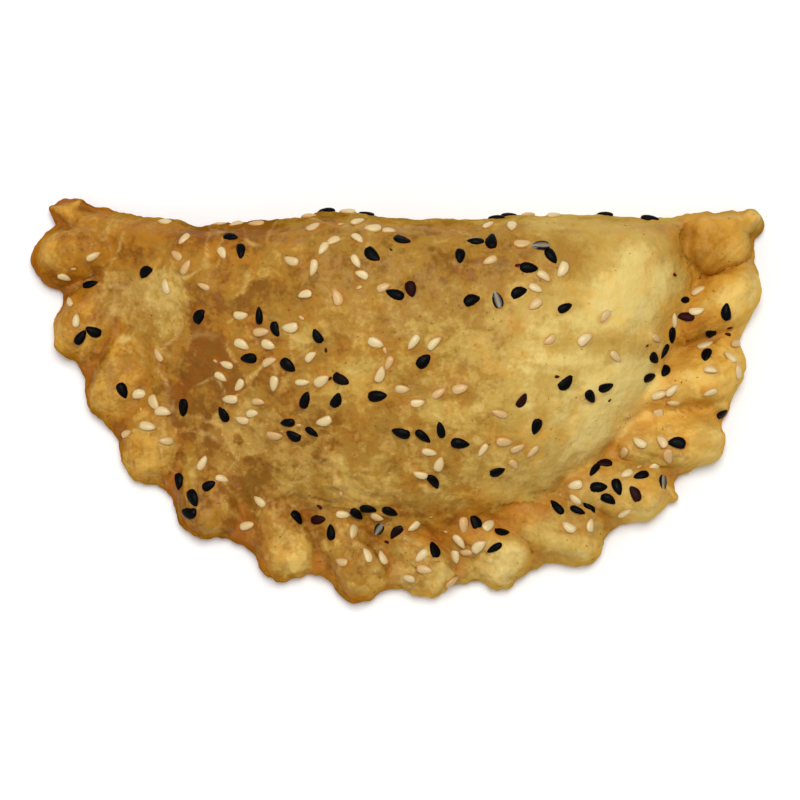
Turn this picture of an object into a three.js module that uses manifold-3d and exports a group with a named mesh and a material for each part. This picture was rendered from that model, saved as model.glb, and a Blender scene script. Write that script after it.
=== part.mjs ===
import * as THREE from "three";
import { mergeVertices } from "three/addons/utils/BufferGeometryUtils.js";
import Module from "manifold-3d";

// A baked turnover, in millimetres: one round of pastry folded over its filling and pressed shut.
// It lies on its flat underside with the fold along the back (+Y) and the crimped arc in front.
// The plan is drawn about the centre of that arc, and the finished solid is moved so that the
// middle of its box stands on the origin.

// ---- Driving sizes ---------------------------------------------------------
const BODY_HEIGHT = 27; // the top of the filled body
const BODY_FOOT = 3; // the height at which the body's slope would reach its own edge
const CREASE_RADIUS = 60.5; // the body's edge, where the pressed rim begins
const RIM_RADIUS = 69; // the pressed rim between two crimps
const SHEET = 5.6; // the thickness of the pressed rim there
const FOLD_Y = 2.3; // the folded edge, behind the arc's centre
const EDGE_BLEND = 3; // how softly the rim's edge turns into the fold
const LOBE_BLEND = 2; // and how softly a lobe stands out of the rim
const CRIMP_RUN = 12; // how far a crimp runs in from its lobe
const CRIMP_TWIST = 36; // its turn from the radius, degrees
const CRIMP_TAPER = 0.85; // its inner width, as a share of the outer
const CRIMP_FALL = 0.7; // its inner rise over the rim, as a share of the outer
const CRIMP_SPREAD = 1.3; // how wide a crimp is above, as a share of its lobe
const CRIMP_BLEND = 0.8; // how softly one crimp runs into the next
const GROOVE_DEPTH = 1.2; // how far a groove between two crimps dips under the rim
const EDGE_LEAST = 3.2; // the rounding of the thinnest edge
const EDGE_MOST = 13.5; // the rounding of the folded edge
const EDGE_SHARE = 0.5; // an edge's rounding, as a share of the thickness there
const WIDEST_SHARE = 0.33; // how far up its side the pastry is widest
const HEEL_LEAST = 1.4; // the rounding under the thinnest edge
const HEEL_SHARE = 0.55; // what a thicker edge adds to it, as a share of the widest height

// The crease between the body and the rim is soft at the left and firm at the right: how fast the
// body falls towards it, how round its shoulder is, and how far the rim runs up into the body.
const SOFT_CREASE = { fall: 2.3, shoulder: 0.95, blend: 4.6 };
const FIRM_CREASE = { fall: 3.4, shoulder: 0.7, blend: 2 };
const FIRM_FROM = 60; // the bearing where it starts to be firm, degrees
const FIRM_OVER = 60; // and over how many degrees it becomes so

// Where the rim was pressed further out, and where the folded edge bends forwards or back.
const RIM_BULGES = [
  { bearing: 95, width: 20, out: 1.2 },
  { bearing: 122, width: 16, out: 2.8 },
  { bearing: 147, width: 17, out: 5.3 },
  { bearing: 173, width: 8, out: 2.2 },
];
const FOLD_BENDS = [
  { x: -38, width: 12, back: -0.6 },
  { x: -11, width: 8, back: 1.3 },
];
// The edge is a little uneven all the way round: how many waves, and how far out and in they go.
const EDGE_RIPPLES = [
  { waves: 31, out: 0.14 },
  { waves: 47, out: 0.1 },
  { waves: 73, out: 0.07 },
];
const FOLD_RIGHT = { from: 14, over: 24, back: 1 }; // the right half of the fold
const FOLD_ENDS = { from: 44, over: 16, back: 0.7 }; // and both its ends

// Each crimp's bearing round the arc in degrees, from the left end through the front, then the
// reach of its lobe from the arc's centre, the lobe's half width, the height of its crest, how
// full its back is, and its lean, which is over the crimp before it where more than 0.
const CRIMPS = [
  { bearing: 16.8, reach: 72.2, half: 6.3, crest: 9.2, fullness: 2.6, lean: 0.2 },
  { bearing: 29.8, reach: 70.4, half: 5.7, crest: 7.8, fullness: 2.6, lean: 0.15 },
  { bearing: 41.8, reach: 72.1, half: 5.6, crest: 7.8, fullness: 2.6, lean: 0.05 },
  { bearing: 55.2, reach: 72.8, half: 5.8, crest: 8, fullness: 2.6, lean: -0.15 },
  { bearing: 70, reach: 72.7, half: 5.5, crest: 8.4, fullness: 2.6, lean: -0.3 },
  { bearing: 83, reach: 73.5, half: 5, crest: 8.8, fullness: 2.6, lean: -0.4 },
  { bearing: 94.6, reach: 72.5, half: 4.8, crest: 8.6, fullness: 2.6, lean: -0.4 },
  { bearing: 107, reach: 73.1, half: 5.2, crest: 9.2, fullness: 2.6, lean: -0.35 },
  { bearing: 120.2, reach: 75.3, half: 5.8, crest: 9.4, fullness: 2.8, lean: -0.1 },
  { bearing: 133.2, reach: 76, half: 5.4, crest: 9.8, fullness: 2.8, lean: 0.25 },
  { bearing: 146, reach: 77.5, half: 5, crest: 10.2, fullness: 3, lean: 0.4 },
  { bearing: 157.6, reach: 74.8, half: 6.2, crest: 11, fullness: 3, lean: 0.5 },
  { bearing: 171.2, reach: 73.6, half: 6, crest: 11.2, fullness: 3, lean: 0.5 },
];

// What was pinched at the ends, with shreds that were torn there and on the rim: a ridge from one
// point to another, with its half width and crest at each, and how full it is.
const PINCHES = {
  leftKnob: { from: [-61.6, -3.2], to: [-67, -4.1], half: [7, 6.5], crest: [12, 11], fullness: 2.4 },
  foldEnd: { from: [-45, -2.6], to: [-61, -0.2], half: [5.4, 6.2], crest: [13, 9.6], fullness: 2 },
  tornTail: { from: [-61, 1], to: [-66.7, 5.2], half: [4.8, 2.6], crest: [8.4, 6], fullness: 2 },
  tailShred: { from: [-67.2, 5.2], to: [-70.2, 6.1], half: [1.9, 0.4], crest: [5.6, 4.8], fullness: 2 },
  tailPoint: { from: [-65.6, 5.8], to: [-64.2, 7.6], half: [1.8, 0.4], crest: [5.6, 4.8], fullness: 2 },
  rightLump: { from: [61.2, -3.2], to: [66, -2.4], half: [5.8, 5.1], crest: [11.6, 10], fullness: 3 },
  rightTip: { from: [61, -0.4], to: [71.2, 3.3], half: [5.8, 2.8], crest: [11, 8.4], fullness: 2.4 },
  frontShred: { from: [51.2, -49.2], to: [54.9, -52.4], half: [1.3, 0.3], crest: [6.4, 5], fullness: 2 },
  rightShred: { from: [62.9, -33], to: [64.7, -33.9], half: [2, 1.3], crest: [8, 6.6], fullness: 2 },
};

// Low swells all over the crust: the bearing of each wave, its length and its depth.
const SWELLS = [
  { turn: 10, length: 43, depth: 0.26 },
  { turn: 75, length: 37, depth: 0.26 },
  { turn: 130, length: 31, depth: 0.22 },
  { turn: 40, length: 19, depth: 0.14 },
  { turn: 100, length: 16, depth: 0.13 },
  { turn: 165, length: 21, depth: 0.14 },
];
const BODY_SWELL = 1.6; // how strong they are on the body
const CRUST_SWELL = 0.6; // and all over, where they are shorter and lie across the first
const CRUST_SWELL_CLOSER = 1.3;

// Where the seeds fell: the middle of each patch, its half length and half width, the turn of its
// length in degrees, and how many dark and pale seeds lie in it.
const PATCHES = [
  { at: [-63, -13], size: [6, 9], turn: 0, dark: 3, pale: 4 }, // the left end
  { at: [-35, -11], size: [17, 9], turn: 0, dark: 5, pale: 7 }, // left of the middle, near the fold
  { at: [-48, -34], size: [7, 10], turn: 0, dark: 2, pale: 7 }, // the left slope
  { at: [-23, -31.6], size: [13, 11], turn: 0, dark: 11, pale: 18 }, // the thickest strewing
  { at: [-8, -9], size: [14, 9], turn: 0, dark: 4, pale: 14 }, // the middle, near the fold
  { at: [3, -29], size: [10, 8], turn: 0, dark: 2, pale: 9 }, // the middle
  { at: [-36, -52.6], size: [10, 6], turn: -30, dark: 4, pale: 4 }, // the lower left rim
  { at: [-9, -57.6], size: [13, 3], turn: 0, dark: 8, pale: 4 }, // the front crease
  { at: [5, -45.4], size: [9, 6], turn: 0, dark: 5, pale: 3 }, // the front slope
  { at: [22, -10], size: [11, 10], turn: 0, dark: 9, pale: 8 }, // right of the middle
  { at: [35.6, -25], size: [8, 10], turn: 0, dark: 4, pale: 4 }, // the right slope
  { at: [21.4, -41.8], size: [6, 9], turn: 0, dark: 3, pale: 6 }, // the lower right slope
  { at: [16, -60.4], size: [5, 3.4], turn: 0, dark: 3, pale: 6 }, // the crease right of the front
  { at: [43, -50], size: [15, 5.5], turn: 32, dark: 12, pale: 11 }, // the lower right crease
  { at: [54.5, -19], size: [10, 2.2], turn: 54, dark: 5, pale: 4 }, // the groove at the right
  { at: [51.6, -31.8], size: [3.4, 5], turn: 0, dark: 2, pale: 4 }, // under it
  { at: [64.4, -27], size: [4, 11], turn: 0, dark: 4, pale: 6 }, // the right rim
  { at: [18, 3], size: [36, 1.8], turn: 0, dark: 6, pale: 3 }, // along the folded edge
  { at: [-34, 0.4], size: [20, 2], turn: 0, dark: 0, pale: 5 }, // its left half
  { at: [4, -66], size: [16, 3.4], turn: 0, dark: 1, pale: 8 }, // the front rim
];
const SEED_GAP = 2.35; // the least distance between the middles of two seeds
const SEED_TRIES = 60; // draws for one seed before it is given up
const SEED_INSET = 0.4; // how far inside the outline a seed's middle lies
const SEED_SINK = 0.18; // how far a seed's middle lies above the crust, as a share of its thickness
const SEED_LEAN = 14; // how far a seed leans out of the crust's own slope, degrees
const DARK_SEED = { length: 3.4, width: 2.1, thickness: 1.15 };
const PALE_SEED = { length: 3.15, width: 1.95, thickness: 1.05 };
const SLOPE_STEP = 0.6; // how far apart the crust's slope is felt under a seed
const SEED_SPREAD = 0.12; // how far a seed's sizes stray from these, as a share
const FIRST_DRAW = 20417; // starts the row of random numbers

// How finely the solid is cut into facets.
const HUB = [0, -20]; // the rings of facets close in on this point
const HUB_REACH = [73, 53]; // from it to the outline, sideways and to the front
const RAYS = 1440; // from the hub to the outline, to find it
const HALVINGS = 40; // on each ray
const OUTLINE_POINTS = 140;
const FOLD_HALF = 58; // half the length of the fold between the pinched ends
const FOLD_SPACING = 0.4; // points along the fold, against those round the crimps
const FINE_RINGS = [0, 0.4, 1.4, 3, 5.2, 8, 11.2, 14.6]; // how far in each ring lies
const COARSE_RINGS = [18.5, 24, 30.5, 38, 45, 50];
const HEEL_RINGS = [0.6];
const SOLE_RINGS = [2.2, 6, 16];
const SEED_SIDES = 5;
const PALE_SKIPPED = 3; // one pale seed in this many is too flat in the glaze to stand out

// ---- The shape of the pastry ------------------------------------------------
const radians = THREE.MathUtils.degToRad;
const GROOVE = SHEET - GROOVE_DEPTH; // the floor of the grooves

function ease(t) {
  const part = THREE.MathUtils.clamp(t, 0, 1);
  return part * part * (3 - 2 * part);
}

function hump(t, middle, width) {
  return Math.exp(-(((t - middle) / width) ** 2));
}

function smoothMax(a, b, blend) {
  const share = THREE.MathUtils.clamp(0.5 + (0.5 * (a - b)) / blend, 0, 1);
  return b + (a - b) * share + blend * share * (1 - share);
}

function smoothMin(a, b, blend) {
  return -smoothMax(-a, -b, blend);
}

// A point's place round the arc, in degrees from the left end through the front.
function bearingOf(x, y) {
  return THREE.MathUtils.radToDeg(Math.atan2(x, -y)) + 90;
}

// A crimp is a short ridge that runs in from its lobe, turned a little from the radius.
function crimpRidge({ bearing, reach, half, crest, fullness, lean }) {
  const out = radians(180 + bearing);
  const run = radians(180 + bearing + CRIMP_TWIST);
  const to = [Math.cos(out) * (reach - half), Math.sin(out) * (reach - half)];
  const from = [to[0] - Math.cos(run) * CRIMP_RUN, to[1] - Math.sin(run) * CRIMP_RUN];
  const innerCrest = SHEET + CRIMP_FALL * (crest - SHEET);
  return {
    from,
    to,
    half: [half * CRIMP_TAPER, half],
    crest: [innerCrest, crest],
    spread: CRIMP_SPREAD,
    fullness,
    lean,
  };
}

// A pinched end stands upright, and is as wide above as its own outline.
function pinchRidge(pinch) {
  return { ...pinch, spread: 1, lean: 0 };
}

const RIDGES = [...CRIMPS.map(crimpRidge), ...Object.values(PINCHES).map(pinchRidge)];

// How far a point is beside a ridge's middle line and past its ends, and the ridge's half width
// and crest there.
function alongRidge({ from, to, half, crest }, x, y) {
  const dx = to[0] - from[0];
  const dy = to[1] - from[1];
  const length = Math.hypot(dx, dy);
  const along = ((x - from[0]) * dx + (y - from[1]) * dy) / length;
  const share = ease(along / length);
  return {
    beside: ((x - from[0]) * dy - (y - from[1]) * dx) / length,
    past: Math.max(along - length, 0) - Math.max(-along, 0),
    half: half[0] + (half[1] - half[0]) * share,
    crest: crest[0] + (crest[1] - crest[0]) * share,
  };
}

// A ridge's height over the floor of the grooves, which is below it beyond its foot.
function ridgeRise(ridge, x, y) {
  const { beside, past, half, crest } = alongRidge(ridge, x, y);
  const side = beside / (half * ridge.spread);
  const ahead = past / (half * ridge.spread);
  const leant = side - ridge.lean * (1 - Math.min(side * side + ahead * ahead, 1));
  return (crest - GROOVE) * (1 - Math.hypot(leant, ahead) ** ridge.fullness);
}

// The rim's own edge, which stands out further where it was pressed outwards.
function rimRadius(x, y) {
  const bearing = bearingOf(x, y);
  const out = (bulge) => bulge.out * hump(bearing, bulge.bearing, bulge.width);
  return RIM_BULGES.reduce((radius, bulge) => radius + out(bulge), RIM_RADIUS);
}

// The folded edge, which is nearly straight.
function foldLine(x) {
  const back = (bend) => bend.back * hump(x, bend.x, bend.width);
  const straight = FOLD_BENDS.reduce((y, bend) => y + back(bend), FOLD_Y);
  const right = FOLD_RIGHT.back * ease((x - FOLD_RIGHT.from) / FOLD_RIGHT.over);
  const ends = FOLD_ENDS.back * ease((Math.abs(x) - FOLD_ENDS.from) / FOLD_ENDS.over);
  return straight + right + ends;
}

// How far a point of the plan lies inside the outline, or outside where it is negative.
function insideOutline(x, y) {
  let inside = smoothMin(rimRadius(x, y) - Math.hypot(x, y), foldLine(x) - y, EDGE_BLEND);
  for (const ridge of RIDGES) {
    const { beside, past, half } = alongRidge(ridge, x, y);
    inside = smoothMax(inside, half - Math.hypot(beside, past), LOBE_BLEND);
  }
  const turn = radians(bearingOf(x, y));
  const ripple = ({ waves, out }) => out * Math.sin(waves * turn + waves);
  const share = ease(Math.hypot(x, y) / RIM_RADIUS);
  return EDGE_RIPPLES.reduce((total, each) => total + share * ripple(each), inside);
}

function swellAt(x, y) {
  let total = 0;
  for (const { turn, length, depth } of SWELLS) {
    const along = x * Math.cos(radians(turn)) + y * Math.sin(radians(turn));
    total += depth * Math.sin((2 * Math.PI * along) / length + turn + length);
  }
  return total;
}

// The height of the upper crust, before its edges are rounded: the filled body and the crimps.
function crustHeight(x, y) {
  const firm = ease((bearingOf(x, y) - FIRM_FROM) / FIRM_OVER);
  const crease = (size) => SOFT_CREASE[size] + (FIRM_CREASE[size] - SOFT_CREASE[size]) * firm;
  const share = 1 - (Math.hypot(x, y) / CREASE_RADIUS) ** crease("fall");
  const rise = share > 0 ? share ** crease("shoulder") : share;
  const lumps = BODY_SWELL * swellAt(x, y) * THREE.MathUtils.clamp(share, 0, 1);
  const body = BODY_FOOT + (BODY_HEIGHT - BODY_FOOT) * rise + lumps;
  let rim = SHEET;
  for (const ridge of RIDGES) rim = smoothMax(rim, GROOVE + ridgeRise(ridge, x, y), CRIMP_BLEND);
  const wrinkles = CRUST_SWELL * swellAt(CRUST_SWELL_CLOSER * y, CRUST_SWELL_CLOSER * x);
  return smoothMax(body, rim, crease("blend")) + wrinkles;
}

// A quarter round, from 0 at the edge to 1 where the rounding ends.
function quarterRound(inside, radius) {
  const left = 1 - THREE.MathUtils.clamp(inside / radius, 0, 1);
  return Math.sqrt(1 - left * left);
}

function topHeight(x, y) {
  const crust = crustHeight(x, y);
  const widest = WIDEST_SHARE * crust;
  const radius = THREE.MathUtils.clamp(EDGE_SHARE * crust, EDGE_LEAST, EDGE_MOST);
  const inside = Math.max(insideOutline(x, y), 0);
  return widest + (crust - widest) * quarterRound(inside, radius);
}

function heelHeight(x, y) {
  const widest = WIDEST_SHARE * crustHeight(x, y);
  const inside = Math.max(insideOutline(x, y), 0);
  return widest * (1 - quarterRound(inside, HEEL_LEAST + HEEL_SHARE * widest));
}

// ---- The pastry's facets ----------------------------------------------------

// The outline on one ray from the hub, found by halving.
function outlinePoint(angle) {
  let near = 0;
  let far = 2 * RIM_RADIUS;
  for (let halving = 0; halving < HALVINGS; halving++) {
    const middle = (near + far) / 2;
    const x = HUB[0] + middle * Math.cos(angle);
    const y = HUB[1] + middle * Math.sin(angle);
    if (insideOutline(x, y) > 0) near = middle;
    else far = middle;
  }
  return new THREE.Vector2(HUB[0] + near * Math.cos(angle), HUB[1] + near * Math.sin(angle));
}

// The outline's points, evenly spaced round the crimps and wider apart along the fold.
function outlinePoints() {
  const dense = [];
  const travelled = [0];
  for (let i = 0; i <= RAYS; i++) dense.push(outlinePoint((2 * Math.PI * i) / RAYS));
  for (let i = 0; i < RAYS; i++) {
    const onFold = dense[i].y > 0 && Math.abs(dense[i].x) < FOLD_HALF;
    const spacing = onFold ? FOLD_SPACING : 1;
    travelled.push(travelled[i] + spacing * dense[i].distanceTo(dense[i + 1]));
  }
  const points = [];
  let ray = 0;
  for (let k = 0; k < OUTLINE_POINTS; k++) {
    const goal = (travelled[RAYS] * k) / OUTLINE_POINTS;
    while (travelled[ray + 1] < goal) ray++;
    const share = (goal - travelled[ray]) / (travelled[ray + 1] - travelled[ray]);
    points.push(dense[ray].clone().lerp(dense[ray + 1], share));
  }
  return points;
}

// Adds a ring of vertices: the outline drawn in towards the hub, at the height of a surface. It
// keeps its distance from the edge near the rim, and closes in on the hub from all sides at once.
function addRing(vertices, outline, inset, stride, heightAt) {
  const first = vertices.length;
  const count = outline.length / stride;
  const [wide, deep] = HUB_REACH;
  const depth = 1 - inset / deep;
  const width = 1 - inset / wide - (1 - deep / wide) * (inset / deep) ** 3;
  for (let i = 0; i < count; i++) {
    const x = HUB[0] + (outline[i * stride].x - HUB[0]) * width;
    const y = HUB[1] + (outline[i * stride].y - HUB[1]) * depth;
    vertices.push(new THREE.Vector3(x, y, heightAt(x, y)));
  }
  return { first, count };
}

// Two facets between four corners, split along the shorter way across.
function addPatch(vertices, faces, a, b, c, d) {
  const across = vertices[a].distanceTo(vertices[c]) - vertices[b].distanceTo(vertices[d]);
  if (across < 0) faces.push([a, b, c], [a, c, d]);
  else faces.push([a, b, d], [b, c, d]);
}

// The band of facets from one ring to the next one in, seen from above.
function addBand(vertices, faces, outer, inner) {
  const stride = outer.count / inner.count;
  for (let i = 0; i < inner.count; i++) {
    const next = (i + 1) % inner.count;
    const start = outer.first + i * stride;
    const end = outer.first + next * stride;
    if (stride === 1) {
      addPatch(vertices, faces, start, end, inner.first + next, inner.first + i);
    } else {
      const middle = start + 1;
      faces.push([start, middle, inner.first + i]);
      faces.push([middle, inner.first + next, inner.first + i]);
      faces.push([middle, end, inner.first + next]);
    }
  }
}

// The facets from the last ring to the hub.
function addCap(vertices, faces, ring, heightAt) {
  const hub = vertices.length;
  vertices.push(new THREE.Vector3(HUB[0], HUB[1], heightAt(HUB[0], HUB[1])));
  for (let i = 0; i < ring.count; i++) {
    faces.push([ring.first + i, ring.first + ((i + 1) % ring.count), hub]);
  }
}

// One half of the pastry: bands of facets from the outline in, and a cap in the middle.
function addHalf(vertices, faces, outline, edge, rings, heightAt) {
  let outer = edge;
  for (const { inset, stride } of rings) {
    const inner = addRing(vertices, outline, inset, stride, heightAt);
    addBand(vertices, faces, outer, inner);
    outer = inner;
  }
  addCap(vertices, faces, outer, heightAt);
}

function pastryGeometry() {
  const outline = outlinePoints();
  const vertices = [];
  const upper = [];
  const lower = [];
  const edge = addRing(vertices, outline, FINE_RINGS[0], 1, topHeight);
  const ringsOf = (insets, stride) => insets.map((inset) => ({ inset, stride }));
  const upperRings = [...ringsOf(FINE_RINGS.slice(1), 1), ...ringsOf(COARSE_RINGS, 2)];
  const lowerRings = [...ringsOf(HEEL_RINGS, 1), ...ringsOf(SOLE_RINGS, 2)];
  addHalf(vertices, upper, outline, edge, upperRings, topHeight);
  addHalf(vertices, lower, outline, edge, lowerRings, heelHeight);
  const faces = [...upper, ...lower.map(([a, b, c]) => [a, c, b])];
  return new THREE.BufferGeometry().setFromPoints(vertices).setIndex(faces.flat());
}

// ---- The seeds --------------------------------------------------------------

// A row of random numbers from 0 to 1, the same each time.
function* randomRow(start) {
  let state = start;
  while (true) {
    state = (state * 1664525 + 1013904223) % 2 ** 32;
    yield state / 2 ** 32;
  }
}

const draws = randomRow(FIRST_DRAW);
const draw = () => draws.next().value;

// A place in a patch that is on the pastry and clear of the seeds before it, if one is found.
function placeIn({ at, size, turn }, placed) {
  const [cos, sin] = [Math.cos(radians(turn)), Math.sin(radians(turn))];
  for (let attempt = 0; attempt < SEED_TRIES; attempt++) {
    const around = 2 * Math.PI * draw();
    const out = Math.sqrt(draw());
    const along = size[0] * out * Math.cos(around);
    const side = size[1] * out * Math.sin(around);
    const x = at[0] + along * cos - side * sin;
    const y = at[1] + along * sin + side * cos;
    const clear = placed.every((seed) => Math.hypot(seed.x - x, seed.y - y) > SEED_GAP);
    if (clear && insideOutline(x, y) > SEED_INSET) return { x, y };
  }
  return null;
}

// Every seed, the larger dark ones first, with its place, heading, lean and sizes.
function strewnSeeds() {
  const placed = [];
  for (const [kind, sizes] of [["dark", DARK_SEED], ["pale", PALE_SEED]]) {
    for (const patch of PATCHES) {
      for (let i = 0; i < patch[kind]; i++) {
        const place = placeIn(patch, placed);
        const heading = 2 * Math.PI * draw();
        const lean = radians(SEED_LEAN) * (2 * draw() - 1);
        const scale = 1 + SEED_SPREAD * (2 * draw() - 1);
        const girth = 1 + SEED_SPREAD * (2 * draw() - 1);
        if (place) placed.push({ ...place, heading, lean, scale, girth, sizes, kind });
      }
    }
  }
  return placed;
}

// One seed, a flattened drop with its pointed end at -Y.
function seedGeometry({ length, width, thickness }) {
  const profile = [
    new THREE.Vector2(0, -0.5 * length),
    new THREE.Vector2(0.38 * width, -0.2 * length),
    new THREE.Vector2(0.48 * width, 0.22 * length),
    new THREE.Vector2(0, 0.5 * length),
  ];
  const drop = new THREE.LatheGeometry(profile, SEED_SIDES, Math.PI / SEED_SIDES);
  return drop.scale(1, 1, thickness / width);
}

// The slope of the crust at a point, as the direction that stands straight out of it.
function outOfCrust(x, y) {
  const step = SLOPE_STEP;
  const slopeX = (topHeight(x + step, y) - topHeight(x - step, y)) / (2 * step);
  const slopeY = (topHeight(x, y + step) - topHeight(x, y - step)) / (2 * step);
  return new THREE.Vector3(-slopeX, -slopeY, 1).normalize();
}

// Lays a seed on the crust along its heading, half sunk in the glaze.
function seedMatrix({ x, y, heading, lean, scale, girth, sizes }) {
  const out = outOfCrust(x, y);
  const along = new THREE.Vector3(Math.cos(heading), Math.sin(heading), 0);
  along.addScaledVector(out, -along.dot(out)).normalize();
  const side = new THREE.Vector3().crossVectors(along, out);
  out.applyAxisAngle(along, lean);
  side.applyAxisAngle(along, lean);
  const middle = new THREE.Vector3(x, y, topHeight(x, y));
  middle.addScaledVector(out, SEED_SINK * sizes.thickness);
  const place = new THREE.Matrix4().makeBasis(side, along, out).setPosition(middle);
  return place.scale(new THREE.Vector3(scale * girth, scale, scale));
}

// ---- Joining the seeds to the crust -----------------------------------------
const wasm = await Module();
wasm.setup();

function solidOf(geometry) {
  const sameVertex = 1e-4;
  const bare = geometry.clone();
  bare.deleteAttribute("normal");
  bare.deleteAttribute("uv");
  const merged = mergeVertices(bare, sameVertex);
  const vertProperties = new Float32Array(merged.attributes.position.array);
  const triVerts = new Uint32Array(merged.index.array);
  return new wasm.Manifold(new wasm.Mesh({ numProp: 3, vertProperties, triVerts }));
}

function geometryOf(solid) {
  const { vertProperties, triVerts } = solid.getMesh();
  const geometry = new THREE.BufferGeometry();
  geometry.setAttribute("position", new THREE.BufferAttribute(vertProperties, 3));
  geometry.setIndex(new THREE.BufferAttribute(triVerts, 1));
  return geometry;
}

const pastry = pastryGeometry();
pastry.computeBoundingBox();
const middle = pastry.boundingBox.getCenter(new THREE.Vector3());

function standsOut({ kind }, index) {
  return kind === "dark" || index % PALE_SKIPPED > 0;
}

let strewn = solidOf(pastry);
for (const seed of strewnSeeds().filter(standsOut)) {
  const laid = seedGeometry(seed.sizes).applyMatrix4(seedMatrix(seed));
  strewn = strewn.add(solidOf(laid));
}

// The crust with its seeds is the largest body; what is left is air shut in between two seeds.
const [whole] = strewn.decompose().sort((a, b) => b.volume() - a.volume());

const crust = geometryOf(whole);
crust.computeVertexNormals();
const bakedCrust = new THREE.MeshStandardMaterial({ color: 0xbd8c46, roughness: 0.5, metalness: 0 });
const empanada = new THREE.Mesh(crust, bakedCrust);
empanada.name = "empanada";
empanada.position.set(-middle.x, -middle.y, 0);

const turnover = new THREE.Group();
turnover.add(empanada);

export default turnover;
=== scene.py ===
import math

import bpy
import numpy as np
from mathutils import Matrix, Vector, noise


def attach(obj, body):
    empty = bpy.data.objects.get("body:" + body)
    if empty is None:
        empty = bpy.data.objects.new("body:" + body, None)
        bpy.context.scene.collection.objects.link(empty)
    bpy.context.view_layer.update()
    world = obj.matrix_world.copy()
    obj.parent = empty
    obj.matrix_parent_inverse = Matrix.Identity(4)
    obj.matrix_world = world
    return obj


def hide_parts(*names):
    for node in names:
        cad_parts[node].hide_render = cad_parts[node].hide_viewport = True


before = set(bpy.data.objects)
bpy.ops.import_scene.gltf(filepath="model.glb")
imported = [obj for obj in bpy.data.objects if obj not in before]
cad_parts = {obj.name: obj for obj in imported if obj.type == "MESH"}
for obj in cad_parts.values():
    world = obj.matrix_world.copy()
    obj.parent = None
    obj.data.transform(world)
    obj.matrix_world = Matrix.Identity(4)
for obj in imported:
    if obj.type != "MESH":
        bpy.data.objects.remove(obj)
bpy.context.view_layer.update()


# ---- The crust --------------------------------------------------------------
# One round of flaky pastry folded over its filling, its edge pressed shut and twisted into
# thirteen crimps, both ends pinched, washed with egg and baked. It is drawn in millimetres about
# the centre of the crimped arc: a plan, a height over that plan, and a fine relief along its skin.

MM = 0.001
BODY_HEIGHT = 27.0
BODY_FOOT = 3.0  # where the body's slope would reach its own edge
CREASE_RADIUS = 60.5  # the body's edge, where the pressed rim begins
RIM_RADIUS = 69.0
SHEET = 5.6  # the pressed rim between two crimps
FOLD_Y = 2.3
EDGE_BLEND = 3.0
LOBE_BLEND = 2.0
CRIMP_RUN = 12.0  # how far a crimp runs in from its lobe
CRIMP_TWIST = 36.0  # its turn from the radius, degrees
CRIMP_TAPER = 0.85
CRIMP_FALL = 0.7
CRIMP_SPREAD = 1.3  # how wide a crimp is above, as a share of its lobe
GROOVE_DEPTH = 1.2
CRIMP_BLEND = 0.8
EDGE_ROUNDING = (3.2, 13.5)  # of the thinnest edge, and of the fold
EDGE_SHARE = 0.5
WIDEST_SHARE = 0.33  # how far up its side the pastry is widest
HEEL_LEAST = 1.4
HEEL_SHARE = 0.55

# The crease is soft at the left and firm at the right: its fall, its shoulder and its blend.
SOFT_CREASE = (2.3, 0.95, 4.6)
FIRM_CREASE = (3.4, 0.7, 2.0)
FIRM_FROM = 60.0
FIRM_OVER = 60.0

RIM_BULGES = [(95, 20, 1.2), (122, 16, 2.8), (147, 17, 5.3), (173, 8, 2.2)]  # bearing, width, out
EDGE_RIPPLES = [(31, 0.14), (47, 0.1), (73, 0.07)]  # waves in a full turn, out and in
FOLD_BENDS = [(-38, 12, -0.6), (-11, 8, 1.3)]  # x, width, back
FOLD_RIGHT = (14, 24, 1.0)  # from, over, back
FOLD_ENDS = (44, 16, 0.7)

# Each crimp: its bearing round the arc, the reach of its lobe, the lobe's half width, its crest,
# how full its back is, and which way it leans: over the crimp before it where more than 0.
CRIMPS = [
    (16.8, 72.2, 6.3, 9.2, 2.6, 0.2),
    (29.8, 70.4, 5.7, 7.8, 2.6, 0.15),
    (41.8, 72.1, 5.6, 7.8, 2.6, 0.05),
    (55.2, 72.8, 5.8, 8, 2.6, -0.15),
    (70, 72.7, 5.5, 8.4, 2.6, -0.3),
    (83, 73.5, 5.0, 8.8, 2.6, -0.4),
    (94.6, 72.5, 4.8, 8.6, 2.6, -0.4),
    (107, 73.1, 5.2, 9.2, 2.6, -0.35),
    (120.2, 75.3, 5.8, 9.4, 2.8, -0.1),
    (133.2, 76, 5.4, 9.8, 2.8, 0.25),
    (146, 77.5, 5.0, 10.2, 3, 0.4),
    (157.6, 74.8, 6.2, 11, 3, 0.5),
    (171.2, 73.6, 6, 11.2, 3, 0.5),
]
# Each pinch at the ends: from, to, its half width at each, its crest at each, how full it is.
PINCHES = [
    ((-61.6, -3.2), (-67, -4.1), (7, 6.5), (12, 11), 2.4),  # the left knob
    ((-45, -2.6), (-61, -0.2), (5.4, 6.2), (13, 9.6), 2),  # the fold's end
    ((-61, 1), (-66.7, 5.2), (4.8, 2.6), (8.4, 6), 2),  # the torn tail
    ((-67.2, 5.2), (-70.2, 6.1), (1.9, 0.4), (5.6, 4.8), 2),  # two shreds of it
    ((-65.6, 5.8), (-64.2, 7.6), (1.8, 0.4), (5.6, 4.8), 2),
    ((61.2, -3.2), (66, -2.4), (5.8, 5.1), (11.6, 10), 3),  # the right lump
    ((61, -0.4), (71.2, 3.3), (5.8, 2.8), (11, 8.4), 2.4),  # the right tip
    ((51.2, -49.2), (54.9, -52.4), (1.3, 0.3), (6.4, 5), 2),  # shreds of the rim
    ((62.9, -33), (64.7, -33.9), (2, 1.3), (8, 6.6), 2),
]
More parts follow.
